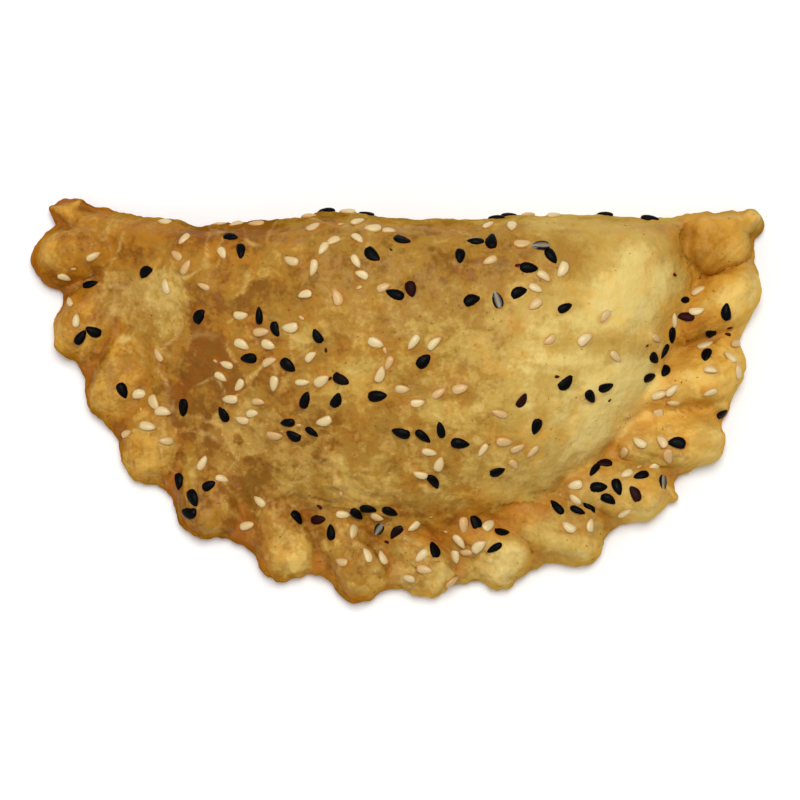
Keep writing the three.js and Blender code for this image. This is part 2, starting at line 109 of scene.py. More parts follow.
# Long waves in the pastry: the turn of each, its length and its height.
SWELLS = [(10, 43, 0.26), (75, 37, 0.26), (130, 31, 0.22), (40, 19, 0.14), (100, 16, 0.13), (165, 21, 0.14)]
BODY_SWELL = 1.6
CRUST_SWELL = 0.6
CRUST_SWELL_CLOSER = 1.3


def ease(t):
    part = np.clip(t, 0, 1)
    return part * part * (3 - 2 * part)


def hump(t, middle, width):
    return np.exp(-(((t - middle) / width) ** 2))


def smooth_max(a, b, blend):
    share = np.clip(0.5 + 0.5 * (a - b) / blend, 0, 1)
    return b + (a - b) * share + blend * share * (1 - share)


def smooth_min(a, b, blend):
    return -smooth_max(-a, -b, blend)


def bearing_of(x, y):
    return np.degrees(np.arctan2(x, -y)) + 90


def unit(degrees):
    return np.array([math.cos(math.radians(degrees)), math.sin(math.radians(degrees))])


def crimp_ridge(bearing, reach, half, crest, fullness, lean):
    end = unit(180 + bearing) * (reach - half)
    start = end - unit(180 + bearing + CRIMP_TWIST) * CRIMP_RUN
    inner_crest = SHEET + CRIMP_FALL * (crest - SHEET)
    halves = (half * CRIMP_TAPER, half)
    return start, end, halves, (inner_crest, crest), fullness, CRIMP_SPREAD, lean


RIDGES = [crimp_ridge(*crimp) for crimp in CRIMPS] + [(*pinch, 1.0, 0.0) for pinch in PINCHES]


def along_ridge(ridge, x, y):
    """How far a point is beside a ridge's middle line and past its ends, and how far along it."""
    (x0, y0), (x1, y1) = ridge[:2]
    dx, dy = x1 - x0, y1 - y0
    length = math.hypot(dx, dy)
    along = ((x - x0) * dx + (y - y0) * dy) / length
    beside = ((x - x0) * dy - (y - y0) * dx) / length
    past = np.maximum(along - length, 0) - np.maximum(-along, 0)
    return beside, past, ease(along / length)


def between(ends, share):
    return ends[0] + (ends[1] - ends[0]) * share


def inside_ridge(ridge, x, y):
    beside, past, share = along_ridge(ridge, x, y)
    return between(ridge[2], share) - np.hypot(beside, past)


def ridge_round(ridge, x, y):
    """A ridge's cross section, 1 on its crest and 0 at its foot, with the crest's height there."""
    beside, past, share = along_ridge(ridge, x, y)
    _, _, halves, crests, fullness, spread, lean = ridge
    half = between(halves, share) * spread
    side = beside / half
    ahead = past / half
    leant = side - lean * (1 - np.minimum(side ** 2 + ahead ** 2, 1))
    return 1 - np.hypot(leant, ahead) ** fullness, between(crests, share)


def inside_outline(x, y):
    bearing = bearing_of(x, y)
    radius = RIM_RADIUS + sum(out * hump(bearing, at, width) for at, width, out in RIM_BULGES)
    fold = FOLD_Y + sum(back * hump(x, at, width) for at, width, back in FOLD_BENDS)
    fold = fold + FOLD_RIGHT[2] * ease((x - FOLD_RIGHT[0]) / FOLD_RIGHT[1])
    fold = fold + FOLD_ENDS[2] * ease((abs(x) - FOLD_ENDS[0]) / FOLD_ENDS[1])
    inside = smooth_min(radius - np.hypot(x, y), fold - y, EDGE_BLEND)
    for ridge in RIDGES:
        inside = smooth_max(inside, inside_ridge(ridge, x, y), LOBE_BLEND)
    turn = np.radians(bearing)
    ripple = sum(out * np.sin(waves * turn + waves) for waves, out in EDGE_RIPPLES)
    return inside + ripple * ease(np.hypot(x, y) / RIM_RADIUS)


def swell_at(x, y):
    total = 0
    for turn, length, depth in SWELLS:
        along = x * unit(turn)[0] + y * unit(turn)[1]
        total = total + depth * np.sin(2 * math.pi * along / length + turn + length)
    return total


def crust_height(x, y):
    firm = ease((bearing_of(x, y) - FIRM_FROM) / FIRM_OVER)
    fall, shoulder, blend = (a + (b - a) * firm for a, b in zip(SOFT_CREASE, FIRM_CREASE))
    share = 1 - (np.hypot(x, y) / CREASE_RADIUS) ** fall
    rise = np.where(share > 0, np.abs(share) ** shoulder, share)
    lumps = BODY_SWELL * swell_at(x, y) * np.clip(share, 0, 1)
    body = BODY_FOOT + (BODY_HEIGHT - BODY_FOOT) * rise + lumps
    groove = SHEET - GROOVE_DEPTH
    rim = SHEET + 0 * x
    for ridge in RIDGES:
        bulge, crest = ridge_round(ridge, x, y)
        rim = smooth_max(rim, groove + (crest - groove) * bulge, CRIMP_BLEND)
    closer = swell_at(CRUST_SWELL_CLOSER * y, CRUST_SWELL_CLOSER * x)
    return smooth_max(body, rim, blend) + CRUST_SWELL * closer


def quarter_round(inside, radius):
    left = 1 - np.clip(inside / radius, 0, 1)
    return np.sqrt(1 - left * left)


def top_height(x, y):
    crust = crust_height(x, y)
    widest = WIDEST_SHARE * crust
    radius = np.clip(EDGE_SHARE * crust, *EDGE_ROUNDING)
    inside = np.maximum(inside_outline(x, y), 0)
    return widest + (crust - widest) * quarter_round(inside, radius)


def heel_height(x, y):
    widest = WIDEST_SHARE * crust_height(x, y)
    inside = np.maximum(inside_outline(x, y), 0)
    return widest * (1 - quarter_round(inside, HEEL_LEAST + HEEL_SHARE * widest))


# The outline, found on rays from the hub that the rings of the mesh close in on.
HUB = np.array([0.0, -20.0])
HUB_REACH = (73.0, 53.0)
RAYS = 7200
HALVINGS = 34
rays = np.linspace(0, 2 * math.pi, RAYS + 1)
near = np.zeros(RAYS + 1)
far = np.full(RAYS + 1, 2 * RIM_RADIUS)
for _ in range(HALVINGS):
    middle = (near + far) / 2
    within = inside_outline(HUB[0] + middle * np.cos(rays), HUB[1] + middle * np.sin(rays)) > 0
    near = np.where(within, middle, near)
    far = np.where(within, far, middle)
outline = np.stack([HUB[0] + near * np.cos(rays), HUB[1] + near * np.sin(rays)], axis=1)
steps = np.hypot(*np.diff(outline, axis=0).T)
travelled = np.concatenate([[0], np.cumsum(steps)]) / steps.sum()
plan_middle = (outline.min(axis=0) + outline.max(axis=0)) / 2

TOP_GRAIN = 0.365  # the spacing of the mesh, in millimetres
SOLE_GRAIN = 1.6
EDGE_INSETS = [0, 0.02, 0.07, 0.15, 0.26, 0.4, 0.57, 0.77, 1.0, 1.28, 1.6]
SOLE_INSETS = [0.02, 0.08, 0.18, 0.34, 0.6, 1.0, 1.6, 2.5, 4, 6, 9, 13, 18, 24, 31, 38, 45, 50]


def ring_at(inset, grain):
    """The outline drawn in towards the hub, with points a grain apart."""
    wide, deep = HUB_REACH
    depth = 1 - inset / deep
    width = 1 - inset / wide - (1 - deep / wide) * (inset / deep) ** 3
    count = max(6, round(steps.sum() * (width + depth) / 2 / grain))
    shares = np.arange(count) / count
    x = HUB[0] + (np.interp(shares, travelled, outline[:, 0]) - HUB[0]) * width
    y = HUB[1] + (np.interp(shares, travelled, outline[:, 1]) - HUB[1]) * depth
    return x, y


def band_between(outer_first, outer_count, inner_first, inner_count):
    """The facets between two rings, taking a step on whichever ring has the next point."""
    goals = np.concatenate([
        (np.arange(outer_count) + 0.5) / outer_count,
        (np.arange(inner_count) + 0.5) / inner_count,
    ])
    on_outer = np.argsort(goals, kind="stable") < outer_count
    outer = np.cumsum(on_outer)
    inner = np.cumsum(~on_outer)
    a = outer_first + (outer - on_outer) % outer_count
    b = np.where(on_outer, outer_first + outer % outer_count, inner_first + inner % inner_count)
    c = inner_first + (inner - ~on_outer) % inner_count
    return np.stack([a, b, c], axis=1)


points = []
facets = []


def add_half(insets, grain, height_at, first, count, facing_up):
    """Adds the rings of one half of the crust, from the outline in to the hub."""
    for inset in insets:
        near_edge = 1 if facing_up else min(1, 0.25 + inset)
        x, y = ring_at(inset, grain * near_edge)
        start = sum(len(p) for p in points)
        points.append(np.stack([x, y, height_at(x, y)], axis=1))
        if count:
            band = band_between(first, count, start, len(x))
            facets.append(band if facing_up else band[:, ::-1])
        first, count = start, len(x)
    hub = sum(len(p) for p in points)
    points.append(np.array([[*HUB, height_at(*HUB)]]))
    ends = first + np.stack([np.arange(count), (np.arange(count) + 1) % count], axis=1)
    fan = np.column_stack([ends, np.full(count, hub)])
    facets.append(fan if facing_up else fan[:, ::-1])


inner_insets = np.arange(EDGE_INSETS[-1] + TOP_GRAIN, HUB_REACH[1] - TOP_GRAIN, TOP_GRAIN)
add_half([*EDGE_INSETS, *inner_insets], TOP_GRAIN, top_height, 0, 0, True)
add_half(SOLE_INSETS, SOLE_GRAIN, heel_height, 0, len(points[0]), False)
skin = np.concatenate(points)
facets = np.concatenate(facets)


def normals_of(vertices):
    corners = vertices[facets]
    across = np.cross(corners[:, 1] - corners[:, 0], corners[:, 2] - corners[:, 0])
    total = np.zeros_like(vertices)
    for corner in range(3):
        np.add.at(total, facets[:, corner], across)
    return total / np.linalg.norm(total, axis=1, keepdims=True)


def noise_at(spots, size, draw=0.0):
    """Smooth noise from -1 to 1, with lumps of a given size in millimetres."""
    return np.array([noise.noise(spot) for spot in (spots / size + draw).tolist()])


def waves_at(spots, *waves):
    """Noise of several sizes laid over each other: the size of each, its draw and its strength."""
    return sum(strength * noise_at(spots, size, draw) for size, draw, strength in waves)


def patches_at(spots, size, draw, level, contrast):
    """Soft patches from 0 to 1, which cover more where the level is higher."""
    return ease(level + contrast * noise_at(spots, size, draw))


def drawn_noise(a, b, sizes, draw):
    """Noise over two measures, drawn out to another size along each."""
    return noise_at(np.column_stack([a / sizes[0], b / sizes[1], 0 * a]), 1.0, draw)


# What marks the skin. Flakes: at the left the glazed skin split as it baked, into flakes that lie
# a little higher or lower than each other, with bare channels where the glaze broke off.
FLAKE = 10.5
FLAKE_WANDERS = [(7.0, 3.6), (2.0, 0.5), (0.8, 0.2)]  # how far apart its edge bends, how far it strays
FLAKE_DRAW = 31.7
OWN_DRAW = 7.31
FLAKE_STEP = 0.36
FLAKES_OVER_RIM = 0.2
SPLIT_WIDTH = 0.2
CHANNEL_WIDTH = 0.3
CHANNEL_SPREAD = 1.3
CHANNEL_EDGE = 0.4


def flakes_at(spots):
    """For each point, how far it is from the nearest split, and its own flake's draw from 0 to 1."""
    from_split = []
    own = []
    for spot in spots.tolist():
        moved = Vector(spot)
        for apart, stray in FLAKE_WANDERS:
            for axis in range(3):
                moved[axis] += stray * noise.noise([c / apart + FLAKE_DRAW * (axis + 1) for c in spot])
        distances, centres = noise.voronoi(moved / FLAKE)
        from_split.append((distances[1] - distances[0]) * FLAKE / 2)
        own.append(0.5 + 0.5 * noise.cell([c * OWN_DRAW for c in centres[0]]))
    return np.array(from_split), np.array(own)


def split_skin(flat, left, rim, patchy):
    """How much the skin flakes, each flake's draw, the splits between them and the bare channels."""
    from_split, own = flakes_at(flat)
    flaking = left * (1 - (1 - FLAKES_OVER_RIM) * rim) * ease(0.7 + 1.8 * patchy)
    split = np.exp(-((from_split / SPLIT_WIDTH) ** 2)) * flaking * patches_at(flat, 7.0, 2.6, 0.5, 3)
    width = CHANNEL_WIDTH + CHANNEL_SPREAD * noise_at(flat, 5.0, 8.2)
    channel = ease((width - from_split) / CHANNEL_EDGE + 0.5) * flaking
    return flaking, own, split, channel


# Where one layer of pastry laps over the next, each as a line over the plan with the lower layer
# on its left: how deep the step is, how far it takes to rise again, how much browner the lower one
# is beside the step, partly a painted shadow under the upper layer and partly pooled glaze.
LAPS = [
    ([(-38.4, -17), (-41.2, -19.2), (-45, -22.6), (-47.4, -24.4), (-47, -27.4), (-45.6, -31),
      (-46.4, -34)], 0.34, 5, 0.12),
    ([(-41, -9.4), (-41.6, -13), (-40.8, -17), (-41, -20.6), (-39.6, -25.4), (-38.6, -27)],
     0.34, 5, 0.3),
    ([(-46.6, -27.6), (-44.4, -29), (-42, -31.8), (-38.4, -30.2), (-36, -29.6), (-33.6, -33),
      (-34.2, -38.4)], 0.3, 5, 0.22),
    ([(-34.2, -38.6), (-38, -40.2), (-42.6, -39.2), (-44.6, -35.6), (-44, -32)], 0.2, 4, 0.2),
    ([(-29, -19.6), (-28.2, -22.2), (-26.4, -24.4), (-24.2, -27)], 0.24, 4, 0.1),
    ([(-34.2, 1.6), (-33.4, -2.2), (-34.6, -5.4), (-33, -8.6), (-35, -10.6)], 0.16, 4, 0.12),
    ([(-54.8, 2), (-54.2, -1), (-56.2, -4.4), (-58.8, -8)], 0.3, 4, 0.1),
    ([(-46.6, -39), (-47.2, -42), (-46, -45.4), (-43.4, -49.6)], 0.26, 4, 0.1),
    ([(-41.6, -36.4), (-37.6, -37.8), (-32.6, -37.4), (-29.6, -39.6)], 0.2, 4, 0.05),
    ([(-13.6, -44.2), (-15.8, -46), (-18.4, -45.8), (-21, -48.6)], 0.26, 3, 0.04),
    ([(-9, -52.6), (-11.2, -50.8), (-12.4, -48.4), (-15, -47)], 0.2, 3, 0.04),
    ([(-10, -53.6), (-16, -52.8), (-22, -52), (-27, -53.4)], 0.42, 5, 0.08),
    ([(0, -56.4), (-5, -55.8), (-11, -55), (-17, -54.4), (-21, -55.4)], 0.5, 5, 0.14),
    ([(38, -57.8), (35.4, -55.4), (32, -54.2), (25.6, -53.6), (21.6, -53.8), (17.6, -55.2)],
     0.5, 4, 0.2),
    ([(59.6, 3.4), (56.6, 1.8), (55.6, -1), (56, -4), (58, -7), (61.4, -8.8), (66, -8.2)], 0.8, 5, 0.14),
    ([(54.6, -17.6), (55.4, -20.6), (58.2, -22.2), (62.6, -21.8), (66.6, -20.4)], 0.7, 5, 0.2),
    ([(50.4, -31.8), (53, -35), (56.8, -35.8), (61.8, -34.8), (65.6, -33.4)], 0.7, 5, 0.2),
    ([(44.4, -41), (47.6, -44.4), (51.6, -45.6), (56, -45)], 0.5, 4, 0.16),
    ([(9.2, -67), (6.2, -64), (2.6, -61.4), (-0.4, -60.4)], 0.6, 3, 0.16),
    ([(8, -68.2), (5, -65), (2, -62.8), (-0.6, -62)], 0.4, 2, 0.06),
    ([(6.4, -69.4), (3.4, -66.6), (0.6, -64.2), (-1.4, -63.4)], 0.4, 2, 0.06),
    ([(-29.8, -68.4), (-31.2, -65.2), (-33, -62)], 0.3, 4, 0.1),
    ([(-59.6, -7), (-62.4, -9.6), (-65.6, -10.4), (-69.4, -9)], 0.6, 4, 0.2),
    ([(-70.6, 2.4), (-67.4, 2), (-63.4, 0.4), (-60, -1)], 0.5, 3, 0.1),
    ([(-57.6, 2.6), (-58.4, 0), (-60.4, -2.4), (-61.4, -5)], 0.3, 3, 0.05),
    ([(49, -4.6), (51.2, -5.6), (52, -9), (53.2, -14)], 0.2, 2, 0),
    ([(53.8, -7.6), (55.6, -8.8), (56.2, -11.4)], 0.2, 2, 0),
]
LAP_EDGE = 0.18


def laps_at(x, y):
    """At each point, the steps and the darker skin under the laps, partly painted shadow, and how near it
    is to an edge.
    """
    step = np.zeros_like(x)
    browner = np.zeros_like(x)
    edge = np.zeros_like(x)
    for line, depth, reach, shade in LAPS:
        stops = np.array(line)
        lengths = np.hypot(*np.diff(stops, axis=0).T)
        away = np.full_like(x, 1e9)
        below = np.zeros_like(x)
        along = np.zeros_like(x)
        before = 0
        for (x0, y0), (x1, y1), length in zip(stops[:-1], stops[1:], lengths):
            dx, dy = (x1 - x0) / length, (y1 - y0) / length
            way = np.clip((x - x0) * dx + (y - y0) * dy, 0, length)
            distance = np.hypot(x - x0 - way * dx, y - y0 - way * dy)
            nearer = distance < away
            away = np.where(nearer, distance, away)
            below = np.where(nearer, (y - y0) * dx - (x - x0) * dy > 0, below)
            along = np.where(nearer, (before + way) / lengths.sum(), along)
            before += length
        strength = ease(5 * np.minimum(along, 1 - along)) * ease(2.2 - away / reach)
        under = below * np.exp(-away / reach) * strength
        step -= depth * under
        browner = np.maximum(browner, shade * under)
        edge = np.maximum(edge, np.exp(-((away / LAP_EDGE) ** 2)) * (0.3 + 0.7 * strength))
    return step, browner, edge


# The streaks and pleats of the twisted rim, and the thin layers that lie bare in front.
RIM_TURN = 0.9  # how the pleats turn from the radius, in degrees for each millimetre out
STREAKS = ((1.7, 6), 9.4)
PLEATS = ((3.1, 8), 4.7)
PLEAT_SHARPNESS = 3.4
PLEATS_ELSEWHERE = 0.35  # how strong they are away from the front
LAYER_APART = 1.9


def rim_pleats(flat, x, y, rim):
    """How pleated the rim is, with its fine streaks and the sharp valleys of its pleats."""
    radius = np.hypot(x, y)
    bearing = bearing_of(x, y)
    round_rim = np.radians(bearing - RIM_TURN * (radius - RIM_RADIUS)) * RIM_RADIUS
    streaks = drawn_noise(round_rim, radius, *STREAKS)
    valleys = np.maximum(1 - PLEAT_SHARPNESS * abs(drawn_noise(round_rim, radius, *PLEATS)), 0)
    pleated = rim * (PLEATS_ELSEWHERE + (1 - PLEATS_ELSEWHERE) * hump(bearing, 80, 40))
    return pleated, streaks, valleys * patches_at(flat, 6.0, 7.9, 0.55, 2.2)


def bare_layers(flat, x, y):
    radius = np.hypot(x, y)
    wave = np.sin(2 * math.pi * (radius / LAYER_APART + 0.9 * noise_at(flat, 6.0, 2.2)))
    return hump(radius, 52.5, 4.2) * hump(bearing_of(x, y), 84, 19) * wave


# The right end: a lump folded over it, the pinched pastry that fills in beside the lump, each as
# a middle, half sizes and a rise, and the wrinkles to the left of it.
LUMP = ((63.2, -2.6), (7.8, 5.9), 0.3)
LUMP_EDGE = 0.2
LUMP_FROM = 66
FILLS = [((68, -0.6), (3.8, 3.4), 1.2), ((62.6, -8.6), (5, 1.9), 0.8)]
WRINKLES = ((50.5, -8), (4.6, 7), 0.3)
WRINKLE_SIZES = (0.9, 3.4)
WRINKLE_SLANT = 0.45


def right_end(x, y):
    (at_x, at_y), (half_x, half_y), rise = LUMP
    in_lump = 1 - np.hypot((x - at_x) / half_x, (y - at_y) / half_y)
    total = rise * ease(in_lump / LUMP_EDGE) * ease((LUMP_FROM - x) / 7)
    for (at_x, at_y), (half_x, half_y), rise in FILLS:
        total = total + rise * hump(x, at_x, half_x) * hump(y, at_y, half_y)
    (at_x, at_y), (half_x, half_y), rise = WRINKLES
    wrinkled = drawn_noise(x + WRINKLE_SLANT * y, y - WRINKLE_SLANT * x, WRINKLE_SIZES, 1.7)
    return total + rise * hump(x, at_x, half_x) * hump(y, at_y, half_y) * wrinkled


# The swells and dents of the baked skin: the size of each, its draw and how far it stands out.
# A folded one is turned up again at 0, which leaves sharp valleys in it.
BROAD_SWELL = (7.5, 0.4, 0.4)
SWELLS_OF_SKIN = [(3.4, 6.2, 0.34), (1.5, 2.9, 0.12)]
FOLDED_SWELLS = [(4.8, 5.1, 0.36), (2.1, 8.8, -0.16)]
LAP_WANDERS = (3.1, 7.7)  # the draws of a lap's wandering, along and back
STEP_COUNT = 3.2  # thin layers of the crust, seen as low steps
STEP_EDGE = 0.22
STEP_RISE = 0.13
EDGE_RISE = 0.1
CREASE_RISE = 0.16
LAYER_RISE = 0.14
STREAK_RISE = 0.1
PLEAT_DEPTH = 0.4
CHANNEL_DEPTH = 0.08


def left_share(x):
    return ease((6 - x) / 34)


def rim_share(x, y):
    return ease((np.hypot(x, y) - CREASE_RADIUS + 5) / 6)


def baked_swells(flat, rough):
    folded = sum(rise * abs(noise_at(flat, size, draw)) for size, draw, rise in FOLDED_SWELLS)
    return waves_at(flat, BROAD_SWELL) + rough * (waves_at(flat, *SWELLS_OF_SKIN) + folded)


def low_steps(flat):
    step = STEP_COUNT * noise_at(flat, 6.0, 12.5)
    return np.floor(step) + ease((step - np.floor(step)) / STEP_EDGE)


def relief_at(spots):
    """How far the skin stands out from the plain form, with what colours it there."""
    x, y, z = spots.T
    flat = np.column_stack([x, y, 0.35 * z])
    wander = [waves_at(flat, (3.0, draw, 0.8), (0.9, draw, 0.35)) for draw in LAP_WANDERS]
    step, browner, edge = laps_at(x + wander[0], y + wander[1])
    edge = edge * patches_at(flat, 3.0, 1.1, 0.65, 2.2)
    left = left_share(x)
    rim = rim_share(x, y)
    rough = 0.75 + 0.25 * left + 0.3 * rim
    patchy = noise_at(flat, 12.0, 5.3)
    flaking, own, split, channel = split_skin(flat, left, rim, patchy)
    pleated, streaks, valleys = rim_pleats(flat, x, y, rim)
    creased = np.maximum((1 - 2.4 * abs(noise_at(flat, 4.4, 3.9))) ** 3, 0)
    height = baked_swells(flat, rough) + step + right_end(x, y)
    height += STEP_RISE * low_steps(flat) * (0.3 + 0.7 * np.maximum(left, rim))
    height += FLAKE_STEP * (own - 0.5) * flaking - CHANNEL_DEPTH * channel
    height += EDGE_RISE * (split + edge) + CREASE_RISE * rough * creased
    height += LAYER_RISE * bare_layers(flat, x, y)
    height += pleated * (STREAK_RISE * streaks - PLEAT_DEPTH * valleys)
    return height, {
        "flake": (own - 0.5) * flaking,
        "flaking": flaking,
        "split": np.maximum(0.75 * split, 0.8 * edge * ease((16 - x) / 8)),
        "creased": creased,
        "channel": channel,
        "browner": browner,
        "rim": rim,
        "streaks": rim * streaks,
        "pleats": pleated * valleys,
        "patchy": patchy,
    }


# The relief and its marks fade out on the underside, which baked flat on its tray.
TRAY_REACH = 0.3
TRAY_FADE = 1.6
out_of_skin = normals_of(skin)
height, marks = relief_at(skin)
off_tray = ease((skin[:, 2] - TRAY_REACH) / TRAY_FADE)
height *= off_tray
for mark in ("flake", "flaking", "split", "creased", "channel", "browner", "pleats"):
    marks[mark] = marks[mark] * off_tray
skin = skin + out_of_skin * height[:, None]
skin[:, 2] = np.maximum(skin[:, 2], 0)
x, y, z = skin.T

# How brown the crust is, from 0, pale, to 1, dark: it baked hotter at the left. The glaze pooled
# on the pinched ends, on the rim and in its grooves, which turned orange there; the grooves and the
# crease are also darker, a painted shade, and the crests paler, a painted highlight.
BROWN_LEFT = 0.68
BROWN_RIGHT = 0.12
# Where it is otherwise: the middle of each patch, its half sizes, and how much browner, more
# glazed and drier it is there.
BAKED_SPOTS = [
    # The left end.
    ((-72, -1), (4, 5), -0.32, 0, 0),
    ((-66, -5), (7, 7), 0.06, 0.3, -0.2),
    ((-63, -12), (5, 9), 0.2, 0, 0),
    ((-62.4, -1), (4, 4), 0.26, 0.2, 0),
    ((-57, -9), (4, 5), 0, -0.1, 0.4),
    ((-53, -1), (7, 5), -0.16, 0.6, -0.6),
    # Along the fold.
    ((-36, -2), (18, 5), 0.24, 0.6, -0.8),
    ((-26, -1), (6, 4), 0.14, 0, 0),
    ((-14, -1), (22, 5), 0.16, -0.1, -0.4),
    ((8, -2), (9, 6), 0.16, 0.1, 0),
    ((29, -1), (7, 5), -0.12, -0.4, 0),
    ((46, 1), (10, 4), 0.3, 0.3, -0.2),
    # The left rim.
    ((-54, -41), (8, 8), -0.1, 0.1, -0.2),
    ((-52, -27), (6, 9), -0.02, 0.1, -0.2),
    ((-44, -48), (8, 8), -0.18, 0, -0.1),
    ((-42, -45), (12, 9), 0, -0.3, 0.15),
    ((-35, -57), (8, 5), 0.3, 0, 0),
    ((-35, -49), (7, 6), 0.33, -0.2, 0.1),
    # The left of the body.
    ((-54, -17), (5, 5), 0.14, 0, 0),
    ((-49, -13), (7, 6), -0.12, -0.2, 0.6),
    ((-44, -34), (6, 5), 0.24, 0.2, -0.4),
    ((-44, -16), (5, 8), -0.18, -0.2, 0.4),
    ((-37, -22), (6, 7), 0.08, 0.3, -0.5),
    ((-35, -41), (6, 5), 0.24, 0, 0.1),
    ((-29, -45), (10, 7), 0.04, -0.2, 0.4),
    ((-26, -25), (6, 6), 0.22, 0, 0),
    ((-24, -40), (9, 6), 0.1, -0.4, 0.5),
    ((-22, -11), (14, 7), 0.2, 0.2, -0.1),
    # The middle of the body.
    ((-17, -49), (8, 5), 0, -0.3, 0.2),
    ((-17, -33), (5, 5), 0.04, 0, 0),
    ((-14, -48), (12, 6), 0, -0.1, 0.2),
    ((-14, -41), (9, 5), 0.2, 0, 0),
    ((-10, -27), (18, 12), 0.14, 0, -0.1),
    ((-8, -33), (6, 5), -0.24, 0, 0),
    ((-8, -25), (5, 5), 0.1, 0, 0),
    ((-6, -42), (12, 7), 0.14, 0, 0),
    ((-4, -6), (16, 8), 0.06, -0.5, -0.2),
    ((-1, -12), (20, 7), 0.16, -0.2, -0.3),
    ((1.6, -17), (5, 5), 0.26, 0, 0),
    ((2, -33), (5, 5), 0.3, 0, 0),
    ((7, -43), (13, 8), 0.16, -0.2, 0),
    ((9, -51), (18, 6), 0.2, 0, 0),
    ((11, -44), (5, 7), 0.24, 0, 0),
    ((11, -33), (5, 4), 0.16, 0.3, 0),
    ((11, -25), (5, 4), -0.1, 0, 0),
    ((13, -24), (12, 8), 0.2, -0.1, -0.1),
    # The right of the body.
    ((17, -6), (15, 9), 0.46, -0.2, 0),
    ((22, -30), (14, 9), 0.1, -0.2, 0),
    ((23, -9), (10, 6), 0.16, 0, 0),
    ((24, -41), (9, 5), 0.12, 0.35, 0),
    ((29, -33), (5, 4), 0.12, 0, 0),
    ((29, -14), (6, 8), 0.06, -0.4, 0),
    ((33, -8), (8, 8), 0.34, 0, -0.1),
    ((36, -49), (10, 6), 0.2, -0.6, 0.4),
    ((38, -41), (7, 6), -0.3, 0.25, 0.1),
    ((38, -17), (5, 4), -0.2, -0.3, 0),
    ((43, -25), (9, 5), 0.34, -0.1, 0),
    ((43, -17), (9, 8), -0.18, 0, 0),
    ((44, -34), (6, 8), -0.1, 0, 0),
    ((47, -33), (8, 7), -0.5, -0.2, 0.1),
    # The right end and rim.
    ((46, -45), (10, 6), 0, -0.3, 0.1),
    ((48, -41), (5, 5), 0.2, -0.3, 0),
    ((48, -34), (4, 4), -0.36, 0, 0),
    ((50, -46), (9, 6), 0.32, 0.2, -0.1),
    ((57, -34), (5, 4), 0, -0.4, 0),
    ((57, -25), (5, 4), -0.14, 0, 0),
    ((57, -17), (5, 4), 0.14, 0, 0),
    ((59, -35), (9, 7), 0.12, 0.6, -0.4),
    ((60, -3), (8, 7), 0.4, 0.6, -0.4),
    ((61, -21), (9, 7), 0.2, 0.6, -0.4),
    ((66, -26), (5, 5), 0, 0.4, 0),
    ((66, -16), (5, 5), -0.3, 0.1, 0),
    ((66, -9), (5, 4), 0.1, 0.3, -0.2),
    ((66, 1), (9, 4), 0.2, 0.3, 0),
    # The front rim and crease.
    ((-23, -65), (10, 5), -0.16, 0.1, 0),
    ((-22, -57), (9, 6), 0.12, -0.3, 0.1),
    ((-17, -66), (5, 5), -0.14, 0, 0),
    ((-10, -56), (16, 4), 0.12, 0.1, 0),
    ((-8, -65), (5, 5), 0.52, 0, 0),
    ((-4, -64), (32, 6), 0, -0.4, 0.25),
    ((1, -57), (6, 4), 0.16, -0.1, 0),
    ((10, -66), (14, 5), 0.1, -0.15, 0.1),
    ((10, -57), (6, 4), 0.14, 0.2, 0),
    ((14, -57), (12, 5), 0.33, 0.35, -0.2),
    ((16, -65), (10, 4), 0, -0.1, 0),
    ((20, -57), (5, 4), -0.12, 0, 0),
    ((29, -58), (6, 4), -0.14, 0, 0.1),
    ((30, -64), (9, 5), 0.22, -0.1, 0),
    ((30, -57), (9, 6), 0.18, -0.5, 0.3),
    ((37, -57), (6, 5), 0.22, 0.4, -0.2),
    ((39, -57), (7, 4), 0.2, -0.2, 0),
]
# What each mark adds to how brown, how glazed and how dry the skin is.
MARK_SHADES = {
    # Grooves: darker brown, a painted shade, and more glazed where the glaze pooled.
    "groove": (0.42, 0.35, 0),
    # Crests: paler, a painted highlight.
    "crest": (-0.2, 0, 0),
    # The front crease: darker, a painted shade, and more glazed where the glaze pooled.
    "crease": (0.18, 0.3, -0.3),
    # Steep sides: paler and more glazed, painted light that lifts their shade.
    "steep": (-0.2, 0.2, -0.2),
    # The steep back slope along the fold: darker and less glazed, a painted shade.
    "behind": (0.28, -0.7, 0),
    # Beside a lap's step: darker and more glazed, partly a painted shadow under the upper layer and partly
    # pooled glaze.
    "browner": (1, 0.8, -0.5),
    "flake": (0, 0, -0.5),
    "channel": (-0.12, 0, 0.4),
    "creased": (0, 0, 0.2),
    # Pleat valleys: darker, a painted shade.
    "pleats": (0.18, 0, 0),
    "streaks": (-0.05, 0, 0),
}
FLAKE_SHADE = 0.55
# Uneven baking: the size of each unevenness, its draw and its strength.
UNEVEN_BROWN = [(11.0, 4.4, 0.16), (4.2, 1.9, 0.14)]
UNEVEN_GLAZE = (8.0, 7.2, 0.25)
UNEVEN_DRYNESS = (6.0, 3.3, 0.3)
ROLLED = ((6, 0.9), 6.6)  # the pastry was rolled out along X
ROLLED_SHADE = 0.1

left = left_share(x)
rim = marks["rim"]
bearing = bearing_of(x, y)
crest_share = np.zeros_like(x)
for ridge in RIDGES:
    crest_share = np.maximum(crest_share, ridge_round(ridge, x, y)[0])
# How deep in a groove each point lies, for its painted shade and its pooled glaze.
marks["groove"] = rim * (1 - ease(1.2 * crest_share)) * (0.45 + 0.85 * left)
# How near each point is to a crest's top, for its painted highlight.
marks["crest"] = rim * ease((crest_share - 0.5) / 0.45) * (0.5 + 0.7 * left)
# The front crease between body and rim, for its painted shade and its pooled glaze.
marks["crease"] = hump(np.hypot(x, y), 61, 3.2) * ease((bearing - 70) / 40) * ease((174 - bearing) / 10)
